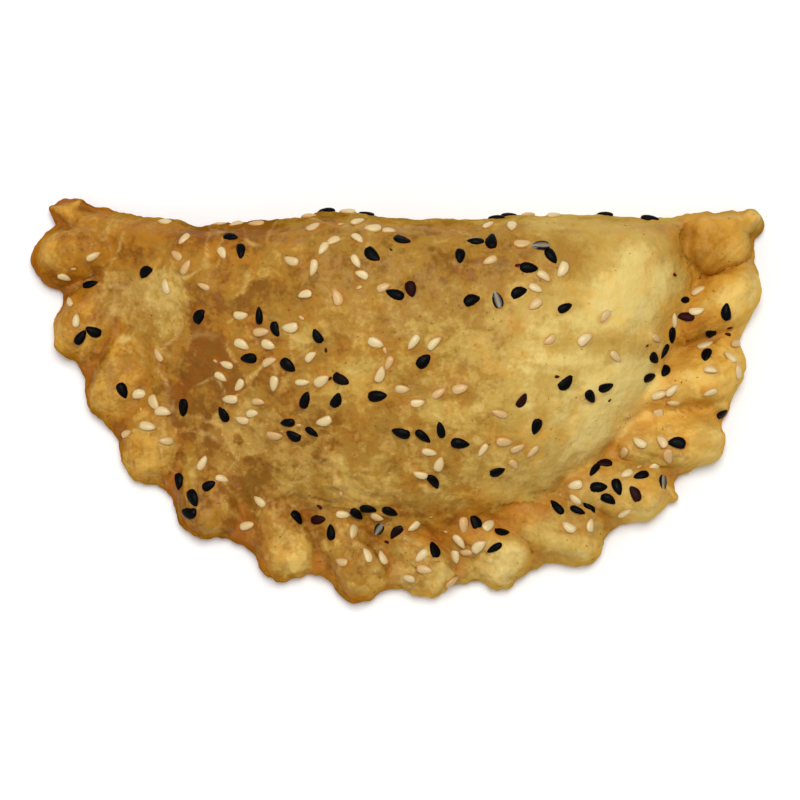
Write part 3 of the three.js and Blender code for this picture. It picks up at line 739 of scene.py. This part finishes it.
# How steep the skin is: its colour is lightened there as painted light, and its sheen is lowered.
marks["steep"] = ease((0.8 - out_of_skin[:, 2]) / 0.6)
# The steep back slope, darkened as a painted shade.
marks["behind"] = marks["steep"] * ease((y + 12) / 8) * ease((x + 62) / 8)

brown = BROWN_RIGHT + (BROWN_LEFT - BROWN_RIGHT) * ease((34 - x) / 78)
brown += FLAKE_SHADE * marks["flake"] * ease(0.8 + 1.5 * marks["patchy"])
brown += (1 - 0.4 * marks["flaking"]) * waves_at(skin, *UNEVEN_BROWN)
brown += ROLLED_SHADE * drawn_noise(x, y, *ROLLED) * (1 - rim) * ease(0.4 + 2 * marks["patchy"])
glaze = 0.2 + 0.2 * left + 0.3 * rim - 0.15 * (1 - rim) * ease((x - 18) / 20)
glaze += waves_at(skin, UNEVEN_GLAZE)
dry = 0.3 - 0.14 * left + waves_at(skin, UNEVEN_DRYNESS)
shades = [(marks[mark], shade) for mark, shade in MARK_SHADES.items()]
for (at_x, at_y), (half_x, half_y), *shade in BAKED_SPOTS:
    shades.append((hump(x, at_x, half_x) * hump(y, at_y, half_y), shade))
for share, (browner, glazed, drier) in shades:
    brown += browner * share
    glaze += glazed * share
    dry += drier * share
uneven = 0.45 + 0.2 * left + 0.15 * rim + 0.35 * (ease((32 - x) / 30) + hump(x, 8, 18) * (1 - rim))


# ---- The seeds' places ------------------------------------------------------
# Dark and pale sesame, strewn by hand on the wet egg wash, so it lies in loose patches, thickest
# left of the middle and in the front crease. Each seed's place, heading, lean and size is drawn.

# middle, half length and half width, turn in degrees, dark seeds, pale seeds
PATCHES = [
    ((-63, -13), (6, 9), 0, 3, 4),
    ((-35, -11), (17, 9), 0, 5, 7),
    ((-48, -34), (7, 10), 0, 2, 7),
    ((-23, -31.6), (13, 11), 0, 11, 18),
    ((-8, -9), (14, 9), 0, 4, 14),
    ((3, -29), (10, 8), 0, 2, 9),
    ((-36, -52.6), (10, 6), -30, 4, 4),
    ((-9, -57.6), (13, 3), 0, 8, 4),
    ((5, -45.4), (9, 6), 0, 5, 3),
    ((22, -10), (11, 10), 0, 9, 8),
    ((35.6, -25), (8, 10), 0, 4, 4),
    ((21.4, -41.8), (6, 9), 0, 3, 6),
    ((16, -60.4), (5, 3.4), 0, 3, 6),
    ((43, -50), (15, 5.5), 32, 12, 11),
    ((54.5, -19), (10, 2.2), 54, 5, 4),
    ((51.6, -31.8), (3.4, 5), 0, 2, 4),
    ((64.4, -27), (4, 11), 0, 4, 6),
    ((18, 3), (36, 1.8), 0, 6, 3),
    ((-34, 0.4), (20, 2), 0, 0, 5),
    ((4, -66), (16, 3.4), 0, 1, 8),
]
SEED_GAP = 2.35
SEED_TRIES = 60
SEED_INSET = 0.4
SEED_SINK = 0.18
SEED_LEAN = 14
SEED_SPREAD = 0.12
SLOPE_STEP = 0.6
SEED_REST = 0.8  # how far from its middle a seed rests on the skin
SEED_BED = 0.06  # how far the skin gives way under it
DARK_SIZE = (3.4, 2.1, 1.15)
PALE_SIZE = (3.15, 1.95, 1.05)
FIRST_DRAW = 20417
CRUMB_SHARE = 0.2  # of the seeds have a crumb beside them
CRUMB_DRAW = 5501
CRUMB_AWAY = (2.0, 5.5)
CRUMB_SIZE = (0.24, 0.44)  # as a share of a whole seed
CRUMB_STRETCH = np.array([1.2, 1.0, 0.6])
CRUMB_GAP = 1.6


class Draws:
    """A row of random numbers from 0 to 1, the same each time."""

    def __init__(self, start):
        self.state = start

    def next(self):
        self.state = (self.state * 1664525 + 1013904223) % 2 ** 32
        return self.state / 2 ** 32


def place_in(patch, placed, draws):
    (at_x, at_y), (length, width), turn, _, _ = patch
    cos, sin = unit(turn)
    for _ in range(SEED_TRIES):
        around = 2 * math.pi * draws.next()
        out = math.sqrt(draws.next())
        along = length * out * math.cos(around)
        side = width * out * math.sin(around)
        spot_x = at_x + along * cos - side * sin
        spot_y = at_y + along * sin + side * cos
        clear = all(math.hypot(s["x"] - spot_x, s["y"] - spot_y) > SEED_GAP for s in placed)
        if clear and inside_outline(np.float64(spot_x), np.float64(spot_y)) > SEED_INSET:
            return spot_x, spot_y
    return None


def strewn_seeds():
    draws = Draws(FIRST_DRAW)
    placed = []
    for kind, size in (("dark", DARK_SIZE), ("pale", PALE_SIZE)):
        for patch in PATCHES:
            for _ in range(patch[3 if kind == "dark" else 4]):
                place = place_in(patch, placed, draws)
                heading = 2 * math.pi * draws.next()
                lean = math.radians(SEED_LEAN) * (2 * draws.next() - 1)
                scale = 1 + SEED_SPREAD * (2 * draws.next() - 1)
                girth = 1 + SEED_SPREAD * (2 * draws.next() - 1)
                if place:
                    placed.append({
                        "x": place[0],
                        "y": place[1],
                        "heading": heading,
                        "lean": lean,
                        "stretch": (scale * girth, scale, scale),
                        "size": size,
                        "kind": kind,
                    })
    return placed


def lay_on_crust(seeds):
    """Gives each seed its turn and its middle: flat along the crust, a third sunk in the glaze."""
    xs = np.array([seed["x"] for seed in seeds])
    ys = np.array([seed["y"] for seed in seeds])
    slope_x = (top_height(xs + SLOPE_STEP, ys) - top_height(xs - SLOPE_STEP, ys)) / (2 * SLOPE_STEP)
    slope_y = (top_height(xs, ys + SLOPE_STEP) - top_height(xs, ys - SLOPE_STEP)) / (2 * SLOPE_STEP)
    spots = np.stack([xs, ys, top_height(xs, ys)], axis=1)
    rests = [(0, 0, 0), (SEED_REST, 0, 0), (-SEED_REST, 0, 0), (0, SEED_REST, 0), (0, -SEED_REST, 0)]
    lifts = np.max([relief_at(spots + rest)[0] for rest in rests], axis=0)
    for seed, dx, dy, spot, lift in zip(seeds, slope_x, slope_y, spots, lifts):
        out = Vector((-dx, -dy, 1)).normalized()
        along = Vector((math.cos(seed["heading"]), math.sin(seed["heading"]), 0))
        along = (along - out * along.dot(out)).normalized()
        lean = Matrix.Rotation(seed["lean"], 3, along)
        middle = Vector(spot) + out * float(lift + SEED_SINK * seed["size"][2] - SEED_BED)
        seed["turned"] = Matrix((lean @ along.cross(out), along, lean @ out)).transposed()
        seed["middle"] = middle


def crumbs_among(seeds):
    """Bits of broken seeds that lie among the whole ones."""
    draws = Draws(CRUMB_DRAW)
    crumbs = []
    for seed in seeds:
        chance = draws.next()
        away = between(CRUMB_AWAY, draws.next())
        around = 360 * draws.next()
        stretch = between(CRUMB_SIZE, draws.next()) * CRUMB_STRETCH
        x, y = np.array([seed["x"], seed["y"]]) + away * unit(around)
        clear = all(math.hypot(s["x"] - x, s["y"] - y) > CRUMB_GAP for s in seeds)
        if chance < CRUMB_SHARE and clear and inside_outline(x, y) > 1:
            place = {"x": x, "y": y, "heading": 2 * around, "lean": 0, "stretch": tuple(stretch)}
            crumbs.append({**place, "size": seed["size"], "kind": seed["kind"], "crumb": True})
    return crumbs


seeds = strewn_seeds()
seeds += crumbs_among(seeds)
lay_on_crust(seeds)

# The glaze stands up a little round each seed, and is darker there on one side, partly browned
# glaze and partly a painted contact shade. It also ran down into the grooves and the crease, where
# it baked orange.
GLAZE_REACH = 0.75
GLAZE_RISE = 0.16
RING_SIDE_DRAW = 5  # a seed's heading times these says which side is darker, and how much
RING_SHARE_DRAW = 9
RUN_DOWN = (4.6, 9.1, 0.9)
RUN_DOWN_SHARE = 0.8
raised = np.zeros(len(skin))
ringed = np.zeros(len(skin))
for seed in seeds:
    length, width, _ = np.array(seed["size"]) * seed["stretch"][1]
    near_it = np.flatnonzero(np.hypot(x - seed["x"], y - seed["y"]) < length)
    offset = (skin[near_it] - np.array(seed["middle"])) @ np.array(seed["turned"])
    beyond = np.maximum(abs(offset[:, 1]) - (length - width) / 2, 0)
    away = np.hypot(offset[:, 0], beyond) - width / 2
    closeness = ease(1 - away / GLAZE_REACH) * (abs(offset[:, 2]) < 2)
    raised[near_it] = np.maximum(raised[near_it], closeness)
    darker_side = unit(math.degrees(RING_SIDE_DRAW * seed["heading"]))
    sideways = (skin[near_it, :2] - [seed["x"], seed["y"]]) @ darker_side / length
    # The ring's darker side is partly browned glaze and partly painted contact shade.
    browned_and_shaded = closeness * ease(0.5 + sideways) * math.sin(RING_SHARE_DRAW * seed["heading"]) ** 2
    ringed[near_it] = np.maximum(ringed[near_it], browned_and_shaded)
low_skin = np.maximum(marks["groove"], RUN_DOWN_SHARE * marks["crease"])
run_down = ease(1.1 * low_skin - 0.3 + waves_at(skin, RUN_DOWN))
ringed = np.maximum(ringed, RUN_DOWN_SHARE * run_down)
skin = skin + out_of_skin * (GLAZE_RISE * raised)[:, None]
skin[:, 2] = np.maximum(skin[:, 2], 0)


# ---- The crust's mesh and finish --------------------------------------------
# The baked skin goes from pale gold through amber to brown, with an orange cast where the glaze
# pooled. Flake edges are paler and dry, and the glazed skin between them has a soft sheen.


def keep_at_points(mesh, name, values, kind="FLOAT"):
    """Keeps a number or a vector for each point of a mesh."""
    field = "vector" if kind == "FLOAT_VECTOR" else "value"
    mesh.attributes.new(name, kind, "POINT").data.foreach_set(field, values)


to_frame = np.array([-plan_middle[0], -plan_middle[1], 0])
crust_mesh = bpy.data.meshes.new("crust")
crust_mesh.from_pydata(((skin + to_frame) * MM).tolist(), [], facets.tolist())
crust_mesh.polygons.foreach_set("use_smooth", [True] * len(crust_mesh.polygons))
for name, values in {
    "brown": np.clip(brown, 0, 1),
    "glaze": np.clip(glaze, 0, 1),
    "dry": np.clip(dry, 0, 1),
    "split": np.clip(marks["split"], 0, 1),
    "uneven": uneven,
    "steep": marks["steep"],
    "ringed": ringed,
}.items():
    keep_at_points(crust_mesh, name, values)
crust = bpy.data.objects.new("crust", crust_mesh)
bpy.context.collection.objects.link(crust)


def paint(red, green, blue):
    """A colour as it shows, 0 to 255, turned into the linear one that a socket holds."""
    shown = np.array([red, green, blue]) / 255
    linear = np.where(shown <= 0.04045, shown / 12.92, ((shown + 0.055) / 1.055) ** 2.4)
    return (*linear.tolist(), 1)


# How the crust shows from pale to dark, dry and where the glaze pooled.
CRUST_TONES = [(0, (216, 190, 112)), (0.33, (186, 152, 72)), (0.66, (158, 117, 42)), (1, (126, 83, 16))]
GLAZED_TONES = [(0, (220, 174, 80)), (0.33, (196, 142, 50)), (0.66, (166, 110, 27)), (1, (132, 76, 12))]
DRY_TONES = [(0, (222, 198, 130)), (0.33, (204, 171, 96)), (0.66, (184, 144, 69)), (1, (160, 114, 41))]
FLAKE_EDGE_TONE = (212, 176, 108)
# The ring by the seeds, partly browned glaze and partly painted contact shade, and the glaze run down.
SEED_RING_TONE = (178, 105, 26)
SPECK_TONE = (84, 46, 18)


class Finish:
    """A material with its nodes made by short calls."""

    def __init__(self, name):
        self.material = bpy.data.materials.new(name)
        self.material.use_nodes = True
        self.nodes = self.material.node_tree.nodes
        self.links = self.material.node_tree.links
        self.shader = self.nodes["Principled BSDF"]

    def feed(self, node, values):
        """Gives sockets of a node, by name or number, a value or a link from another node."""
        for name, value in values.items():
            socket = node.inputs[name]
            if isinstance(value, bpy.types.NodeSocket):
                self.links.new(value, socket)
            else:
                socket.default_value = value

    def add(self, kind, values, **settings):
        made = self.nodes.new(f"ShaderNode{kind}")
        for name, setting in settings.items():
            setattr(made, name, setting)
        self.feed(made, values)
        return made.outputs

    def attribute(self, name):
        return self.add("Attribute", {}, attribute_name=name)["Fac"]

    def grain(self, size, detail=3.0, roughness=0.55, distortion=0.0):
        """Fine unevenness from 0 to 1, with lumps of a given size in millimetres."""
        return self.add("TexNoise", {
            "Vector": self.add("TexCoord", {})["Object"],
            "Scale": 1 / (size * MM),
            "Detail": detail,
            "Roughness": roughness,
            "Distortion": distortion,
        })["Fac"]

    def math(self, operation, *values, clamp=False):
        return self.add("Math", dict(enumerate(values)), operation=operation, use_clamp=clamp)[0]

    def centred(self, value, strength):
        """Turns a grain from 0 to 1 into one about 0, of a given strength."""
        return self.math("MULTIPLY_ADD", value, strength, -strength / 2)

    def band(self, value, low, high, to_low=0.0, to_high=1.0):
        ends = dict(enumerate([value, low, high, to_low, to_high]))
        return self.add("MapRange", ends, interpolation_type="SMOOTHSTEP")[0]

    def mix(self, share, a, b):
        """Goes from colour a to colour b, by the colour sockets of the node."""
        return self.add("Mix", {0: share, 6: a, 7: b}, data_type="RGBA")[2]

    def ramp(self, value, stops):
        made = self.nodes.new("ShaderNodeValToRGB")
        made.color_ramp.interpolation = "EASE"
        elements = made.color_ramp.elements
        while len(elements) < len(stops):
            elements.new(0.5)
        for element, (position, tone) in zip(elements, stops):
            element.position = position
            element.color = paint(*tone)
        self.feed(made, {"Fac": value})
        return made.outputs["Color"]

    def bump(self, height, depth, under=None):
        """Raises fine relief of a depth in millimetres, on top of another bump where given."""
        values = {"Height": height, "Distance": depth * MM, "Strength": 1.0}
        if under:
            values["Normal"] = under
        return self.add("Bump", values)["Normal"]


baked = Finish("baked_crust")
blotch = baked.centred(baked.grain(6.0, 3.0, 0.5, 0.5), 0.5)
mottle = baked.centred(baked.grain(2.4, 3.0, 0.5), 0.7)
fleck = baked.centred(baked.grain(0.8, 2.0, 0.5), 0.42)
unevenness = baked.math("ADD", blotch, baked.math("ADD", mottle, fleck))
unevenness = baked.math("MULTIPLY", unevenness, baked.attribute("uneven"))
tone = baked.math("ADD", baked.attribute("brown"), unevenness, clamp=True)
pools = baked.centred(baked.grain(5.0, 4.0, 0.5, 0.3), 2.6)
pooled = baked.math("ADD", baked.attribute("glaze"), pools, clamp=True)
colour = baked.mix(pooled, baked.ramp(tone, CRUST_TONES), baked.ramp(tone, GLAZED_TONES))
film = baked.centred(baked.grain(3.0, 5.0, 0.6, 0.25), 3.0)
dryness = baked.band(baked.math("ADD", baked.attribute("dry"), film), 0.4, 0.85)
dry_share = baked.math("MULTIPLY", baked.math("MULTIPLY", dryness, 0.8), baked.attribute("uneven"))
colour = baked.mix(dry_share, colour, baked.ramp(tone, DRY_TONES))
crumbs = baked.math("MULTIPLY", baked.band(baked.grain(0.5, 0.0), 0.74, 0.8), dryness)
for share, most, spot_tone in (
    (baked.attribute("split"), 0.6, FLAKE_EDGE_TONE),
    # Rings by the seeds: partly browned glaze, partly painted contact shade.
    (baked.attribute("ringed"), 0.55, SEED_RING_TONE),
    (crumbs, 0.6, FLAKE_EDGE_TONE),
    (baked.band(baked.grain(0.6, 0.0), 0.81, 0.84), 0.6, SPECK_TONE),
):
    colour = baked.mix(baked.math("MULTIPLY", share, most), colour, paint(*spot_tone))
fine_skin = baked.bump(baked.grain(0.9, 3.0, 0.55), 0.14)
baked.feed(baked.shader, {
    "Base Color": colour,
    "Roughness": baked.band(dryness, 0, 1, 0.44, 0.62),
    "Specular IOR Level": baked.band(baked.attribute("steep"), 0, 0.5, 0.13, 0.0),
    "Normal": baked.bump(baked.grain(2.6, 4.0, 0.55), 0.4, fine_skin),
    "Subsurface Weight": 0.12,
    "Subsurface Radius": (1.0, 0.5, 0.2),
    "Subsurface Scale": 1.5 * MM,
})
crust_mesh.materials.append(baked.material)
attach(crust, "root")
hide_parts("empanada")


# ---- The sesame seeds -------------------------------------------------------
# Each seed is a flat drop with a pointed tip, lying on the crust. The dark ones have a thin
# charred hull, a few of them split open, and the pale ones are toasted at the tip and darker on
# their flanks, a painted shade.

SEED_SIDES = 8
SEED_STATIONS = [0.04, 0.14, 0.32, 0.56, 0.78, 0.93]


def seed_form(t, tip, end):
    """How full a drop is at a share of its length from the tip, from 0 to 1."""
    fullest = tip / (tip + end)
    return (t / fullest) ** tip * ((1 - t) / (1 - fullest)) ** end


def seed_mesh(name, size, bend=0.0, dent=0.0, slim=0.0, knobbly=0.0, open_top=False):
    """A seed with its tip at -Y, lying flat, with how far along it each point is."""
    length, width, thickness = size
    rows = [[(0, -length / 2, 0)]]
    for t in SEED_STATIONS:
        half_width = width / 2 * seed_form(t, 0.66, 0.4) * (1 - slim)
        half_thick = thickness / 2 * seed_form(t, 0.6, 0.45)
        row = []
        for side in range(SEED_SIDES):
            cos, sin = unit(360 * side / SEED_SIDES)
            rise = half_thick * sin
            if sin > 0.5 and dent:
                rise *= 1 - dent * (1 - abs(cos))
            if sin > 0 and open_top:
                rise *= -0.35 if sin > 0.9 else 0.55
            shift = bend * width * (t - 0.5) ** 2
            swell = 1 + knobbly * noise.noise((3 * cos, 9 * t, 3 * sin + knobbly))
            row.append((half_width * cos * swell + shift, length * (t - 0.5), rise * swell))
        rows.append(row)
    rows.append([(0, length / 2, 0)])
    vertices = [Vector(v) * MM for row in rows for v in row]
    along = [0.0] + [t for t in SEED_STATIONS for _ in range(SEED_SIDES)] + [1.0]
    # For a painted shade on the flanks: 0 on top of the seed, 1 on its sides and underside.
    flank_row = [1 - max(unit(360 * side / SEED_SIDES)[1], 0) for side in range(SEED_SIDES)]
    flank = [1.0] + flank_row * len(SEED_STATIONS) + [1.0]
    last = len(vertices) - 1
    faces = []
    for side in range(SEED_SIDES):
        following = (side + 1) % SEED_SIDES
        faces.append((0, 1 + side, 1 + following))
        for row in range(len(SEED_STATIONS) - 1):
            a = 1 + row * SEED_SIDES
            b = a + SEED_SIDES
            faces.append((a + side, b + side, b + following, a + following))
        a = 1 + (len(SEED_STATIONS) - 1) * SEED_SIDES
        faces.append((a + side, last, a + following))
    mesh = bpy.data.meshes.new(name)
    mesh.from_pydata(vertices, [], faces)
    mesh.polygons.foreach_set("use_smooth", [True] * len(faces))
    inside = [1.0 if open_top and v.z < 0.1 * MM and abs(v.x) < 0.55 * MM else 0.0 for v in vertices]
    keep_at_points(mesh, "along", along)
    keep_at_points(mesh, "flank", flank)
    keep_at_points(mesh, "inside", inside)
    return mesh


def strewing_tree(name):
    """Puts one of several seed forms on each point, turned and sized as the point says."""
    tree = bpy.data.node_groups.new(name, "GeometryNodeTree")
    for socket, way, kind in (
        ("Places", "INPUT", "Geometry"),
        ("Forms", "INPUT", "Collection"),
        ("Finish", "INPUT", "Material"),
        ("Seeds", "OUTPUT", "Geometry"),
    ):
        tree.interface.new_socket(socket, in_out=way, socket_type=f"NodeSocket{kind}")
    nodes, links = tree.nodes, tree.links
    given = nodes.new("NodeGroupInput").outputs
    forms = nodes.new("GeometryNodeCollectionInfo")
    forms.inputs["Separate Children"].default_value = True
    forms.inputs["Reset Children"].default_value = True
    links.new(given["Forms"], forms.inputs["Collection"])
    lay = nodes.new("GeometryNodeInstanceOnPoints")
    lay.inputs["Pick Instance"].default_value = True
    links.new(given["Places"], lay.inputs["Points"])
    links.new(forms.outputs["Instances"], lay.inputs["Instance"])
    for attribute, kind, socket in (
        ("form", "INT", "Instance Index"),
        ("turned", "FLOAT_VECTOR", "Rotation"),
        ("stretch", "FLOAT_VECTOR", "Scale"),
    ):
        named = nodes.new("GeometryNodeInputNamedAttribute")
        named.data_type = kind
        named.inputs["Name"].default_value = attribute
        value = next(s for s in named.outputs if s.name == "Attribute" and s.enabled)
        links.new(value, lay.inputs[socket])
    real = nodes.new("GeometryNodeRealizeInstances")
    links.new(lay.outputs["Instances"], real.inputs["Geometry"])
    finish = nodes.new("GeometryNodeSetMaterial")
    links.new(real.outputs["Geometry"], finish.inputs["Geometry"])
    links.new(given["Finish"], finish.inputs["Material"])
    links.new(finish.outputs["Geometry"], nodes.new("NodeGroupOutput").inputs["Seeds"])
    return tree


strewing = strewing_tree("strewing")


def strew(name, places, forms, material):
    """One piece out of all the seeds of a kind: the places are points, and the forms seed meshes."""
    shelf = bpy.data.collections.new(f"{name}_forms")
    for i, mesh in enumerate(forms):
        shelf.objects.link(bpy.data.objects.new(f"{name}_form_{i}", mesh))
    middles = [((Vector(to_frame) + place["middle"]) * MM)[:] for place in places]
    mesh = bpy.data.meshes.new(f"{name}_places")
    mesh.from_pydata(middles, [], [])
    turned = [c for place in places for c in place["turned"].to_euler()]
    stretch = [c for place in places for c in place["stretch"]]
    keep_at_points(mesh, "turned", turned, "FLOAT_VECTOR")
    keep_at_points(mesh, "stretch", stretch, "FLOAT_VECTOR")
    keep_at_points(mesh, "form", [place["form"] for place in places], "INT")
    keep_at_points(mesh, "toast", [place["toast"] for place in places])
    carrier = bpy.data.objects.new(f"{name}_places", mesh)
    bpy.context.collection.objects.link(carrier)
    modifier = carrier.modifiers.new("strewing", "NODES")
    modifier.node_group = strewing
    given = {"Forms": shelf, "Finish": material}
    for item in strewing.interface.items_tree:
        if item.in_out == "INPUT" and item.name in given:
            modifier[item.identifier] = given[item.name]
    evaluated = carrier.evaluated_get(bpy.context.evaluated_depsgraph_get())
    piece = bpy.data.objects.new(name, bpy.data.meshes.new_from_object(evaluated))
    piece.data.name = name
    bpy.context.collection.objects.link(piece)
    carrier.modifiers.remove(modifier)
    bpy.data.objects.remove(carrier)
    return piece


# How often each whole form comes up, as a running share. One more form of each kind is a crumb.
DARK_PICKS = [0.4, 0.65, 0.85, 0.94, 1]
PALE_PICKS = [0.35, 0.65, 0.85, 1]
TOAST_MOST = 0.85
looks = Draws(977)
for seed in seeds:
    seed["toast"] = 1.0 if "crumb" in seed else TOAST_MOST * looks.next()
    pick = looks.next()
    picks = DARK_PICKS if seed["kind"] == "dark" else PALE_PICKS
    whole_form = next(form for form, limit in enumerate(picks) if pick <= limit)
    seed["form"] = len(picks) if "crumb" in seed else whole_form

charred = Finish("charred_hull")
rubbed = charred.band(charred.attribute("toast"), 0.7, 1.0)
hull = charred.mix(rubbed, paint(2, 2, 3), paint(64, 20, 13))
hull = charred.mix(charred.band(charred.grain(0.5, 2.0), 0.5, 0.8, 0, 0.4), hull, paint(12, 11, 14))
hull = charred.mix(charred.attribute("inside"), hull, paint(150, 146, 134))
charred.feed(charred.shader, {
    "Base Color": hull,
    "Roughness": charred.band(charred.grain(0.8, 1.0), 0.3, 0.7, 0.36, 0.55),
    "Specular IOR Level": 0.06,
    "Normal": charred.bump(charred.grain(0.35, 3.0), 0.07),
})

toasted = Finish("toasted_seed")
well_done = toasted.band(toasted.attribute("toast"), 0.3, 0.9)
kernel = toasted.mix(well_done, paint(210, 188, 136), paint(198, 158, 98))
tip = toasted.band(toasted.attribute("along"), 0.3, 0.0)
kernel = toasted.mix(toasted.math("MULTIPLY", tip, 0.55), kernel, paint(184, 128, 68))
# The flanks are darker than the top: painted shade.
flank = toasted.band(toasted.attribute("flank"), 0.2, 1.1, 0, 0.6)
kernel = toasted.mix(flank, kernel, paint(186, 140, 82))
patch = toasted.band(toasted.grain(0.7, 3.0), 0.5, 0.8, 0, 0.35)
kernel = toasted.mix(patch, kernel, paint(214, 170, 108))
toasted.feed(toasted.shader, {
    "Base Color": kernel,
    "Roughness": 0.42,
    "Subsurface Weight": 0.15,
    "Subsurface Radius": (1.0, 0.6, 0.3),
    "Subsurface Scale": 0.6 * MM,
    "Normal": toasted.bump(toasted.grain(0.5, 2.0), 0.05),
})

dark_forms = [
    seed_mesh("dark_whole", DARK_SIZE),
    seed_mesh("dark_dented", DARK_SIZE, bend=0.5, dent=0.5),
    seed_mesh("dark_lopsided", DARK_SIZE, bend=-0.6, knobbly=0.14),
    seed_mesh("dark_slim", DARK_SIZE, slim=0.24, knobbly=0.1),
    seed_mesh("dark_split", DARK_SIZE, open_top=True, knobbly=0.08),
    seed_mesh("dark_crumb", DARK_SIZE, knobbly=0.9, slim=0.2),
]
pale_forms = [
    seed_mesh("pale_whole", PALE_SIZE),
    seed_mesh("pale_bent", PALE_SIZE, bend=-0.5, slim=0.06),
    seed_mesh("pale_slim", PALE_SIZE, slim=0.18, knobbly=0.08),
    seed_mesh("pale_uneven", PALE_SIZE, bend=0.5, dent=0.4, knobbly=0.14),
    seed_mesh("pale_crumb", PALE_SIZE, knobbly=0.9, slim=0.2),
]
dark_seeds = [seed for seed in seeds if seed["kind"] == "dark"]
pale_seeds = [seed for seed in seeds if seed["kind"] == "pale"]
for name, kind, forms, finish in (
    ("dark_sesame", dark_seeds, dark_forms, charred),
    ("pale_sesame", pale_seeds, pale_forms, toasted),
):
    piece = strew(name, kind, forms, finish.material)
    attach(piece, "root")
    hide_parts("empanada")


# ---- The floor, the light and the camera ------------------------------------
# A plain white floor under a soft light that hangs nearly overhead, a little to the back, with a
# wide weaker one from the front left. The camera looks almost straight down on the turnover.

FLOOR_SIZE = 6.0
floor_mesh = bpy.data.meshes.new("floor")
corners = [(-1, -1), (1, -1), (1, 1), (-1, 1)]
half_floor = FLOOR_SIZE / 2
floor_mesh.from_pydata([(u * half_floor, v * half_floor, 0) for u, v in corners], [], [(0, 1, 2, 3)])
floor = bpy.data.objects.new("floor", floor_mesh)
bpy.context.collection.objects.link(floor)
plain = Finish("plain_floor")
plain.feed(plain.shader, {"Base Color": (0.9, 0.9, 0.9, 1), "Roughness": 0.9, "Specular IOR Level": 0.1})
floor_mesh.materials.append(plain.material)


def aim(item, place, target):
    """Puts a light or camera at a place, looking at a target."""
    item.location = place
    item.rotation_euler = (Vector(target) - Vector(place)).to_track_quat("-Z", "Y").to_euler()
    bpy.context.collection.objects.link(item)


def soft_light(name, place, size, power):
    lamp = bpy.data.lights.new(name, "AREA")
    lamp.size = size
    lamp.energy = power
    aim(bpy.data.objects.new(name, lamp), place, (0, 0, 0.01))


soft_light("overhead", (0.03, 0.13, 0.6), 0.28, 3.0)
soft_light("side", (-0.5, -0.3, 0.5), 0.7, 1.0)
world = bpy.data.worlds.new("studio")
world.use_nodes = True
world.node_tree.nodes["Background"].inputs["Color"].default_value = (1, 1, 1, 1)
world.node_tree.nodes["Background"].inputs["Strength"].default_value = 0.4
bpy.context.scene.world = world
bpy.context.scene.view_settings.view_transform = "Standard"

CAMERA_ELEVATION = 84
CAMERA_LENS = 85
FRAME_WIDTH = 0.1588  # what the picture shows from side to side, at the pastry
AIM = (0.0001, -0.0007, 0.006)
camera_data = bpy.data.cameras.new("camera")
camera_data.lens = CAMERA_LENS
camera_data.clip_start = 0.01
distance = FRAME_WIDTH * CAMERA_LENS / camera_data.sensor_width
lift = math.radians(CAMERA_ELEVATION)
camera = bpy.data.objects.new("camera", camera_data)
back = Vector((0, -math.cos(lift), math.sin(lift)))
aim(camera, Vector(AIM) + back * distance, AIM)
bpy.context.scene.camera = camera
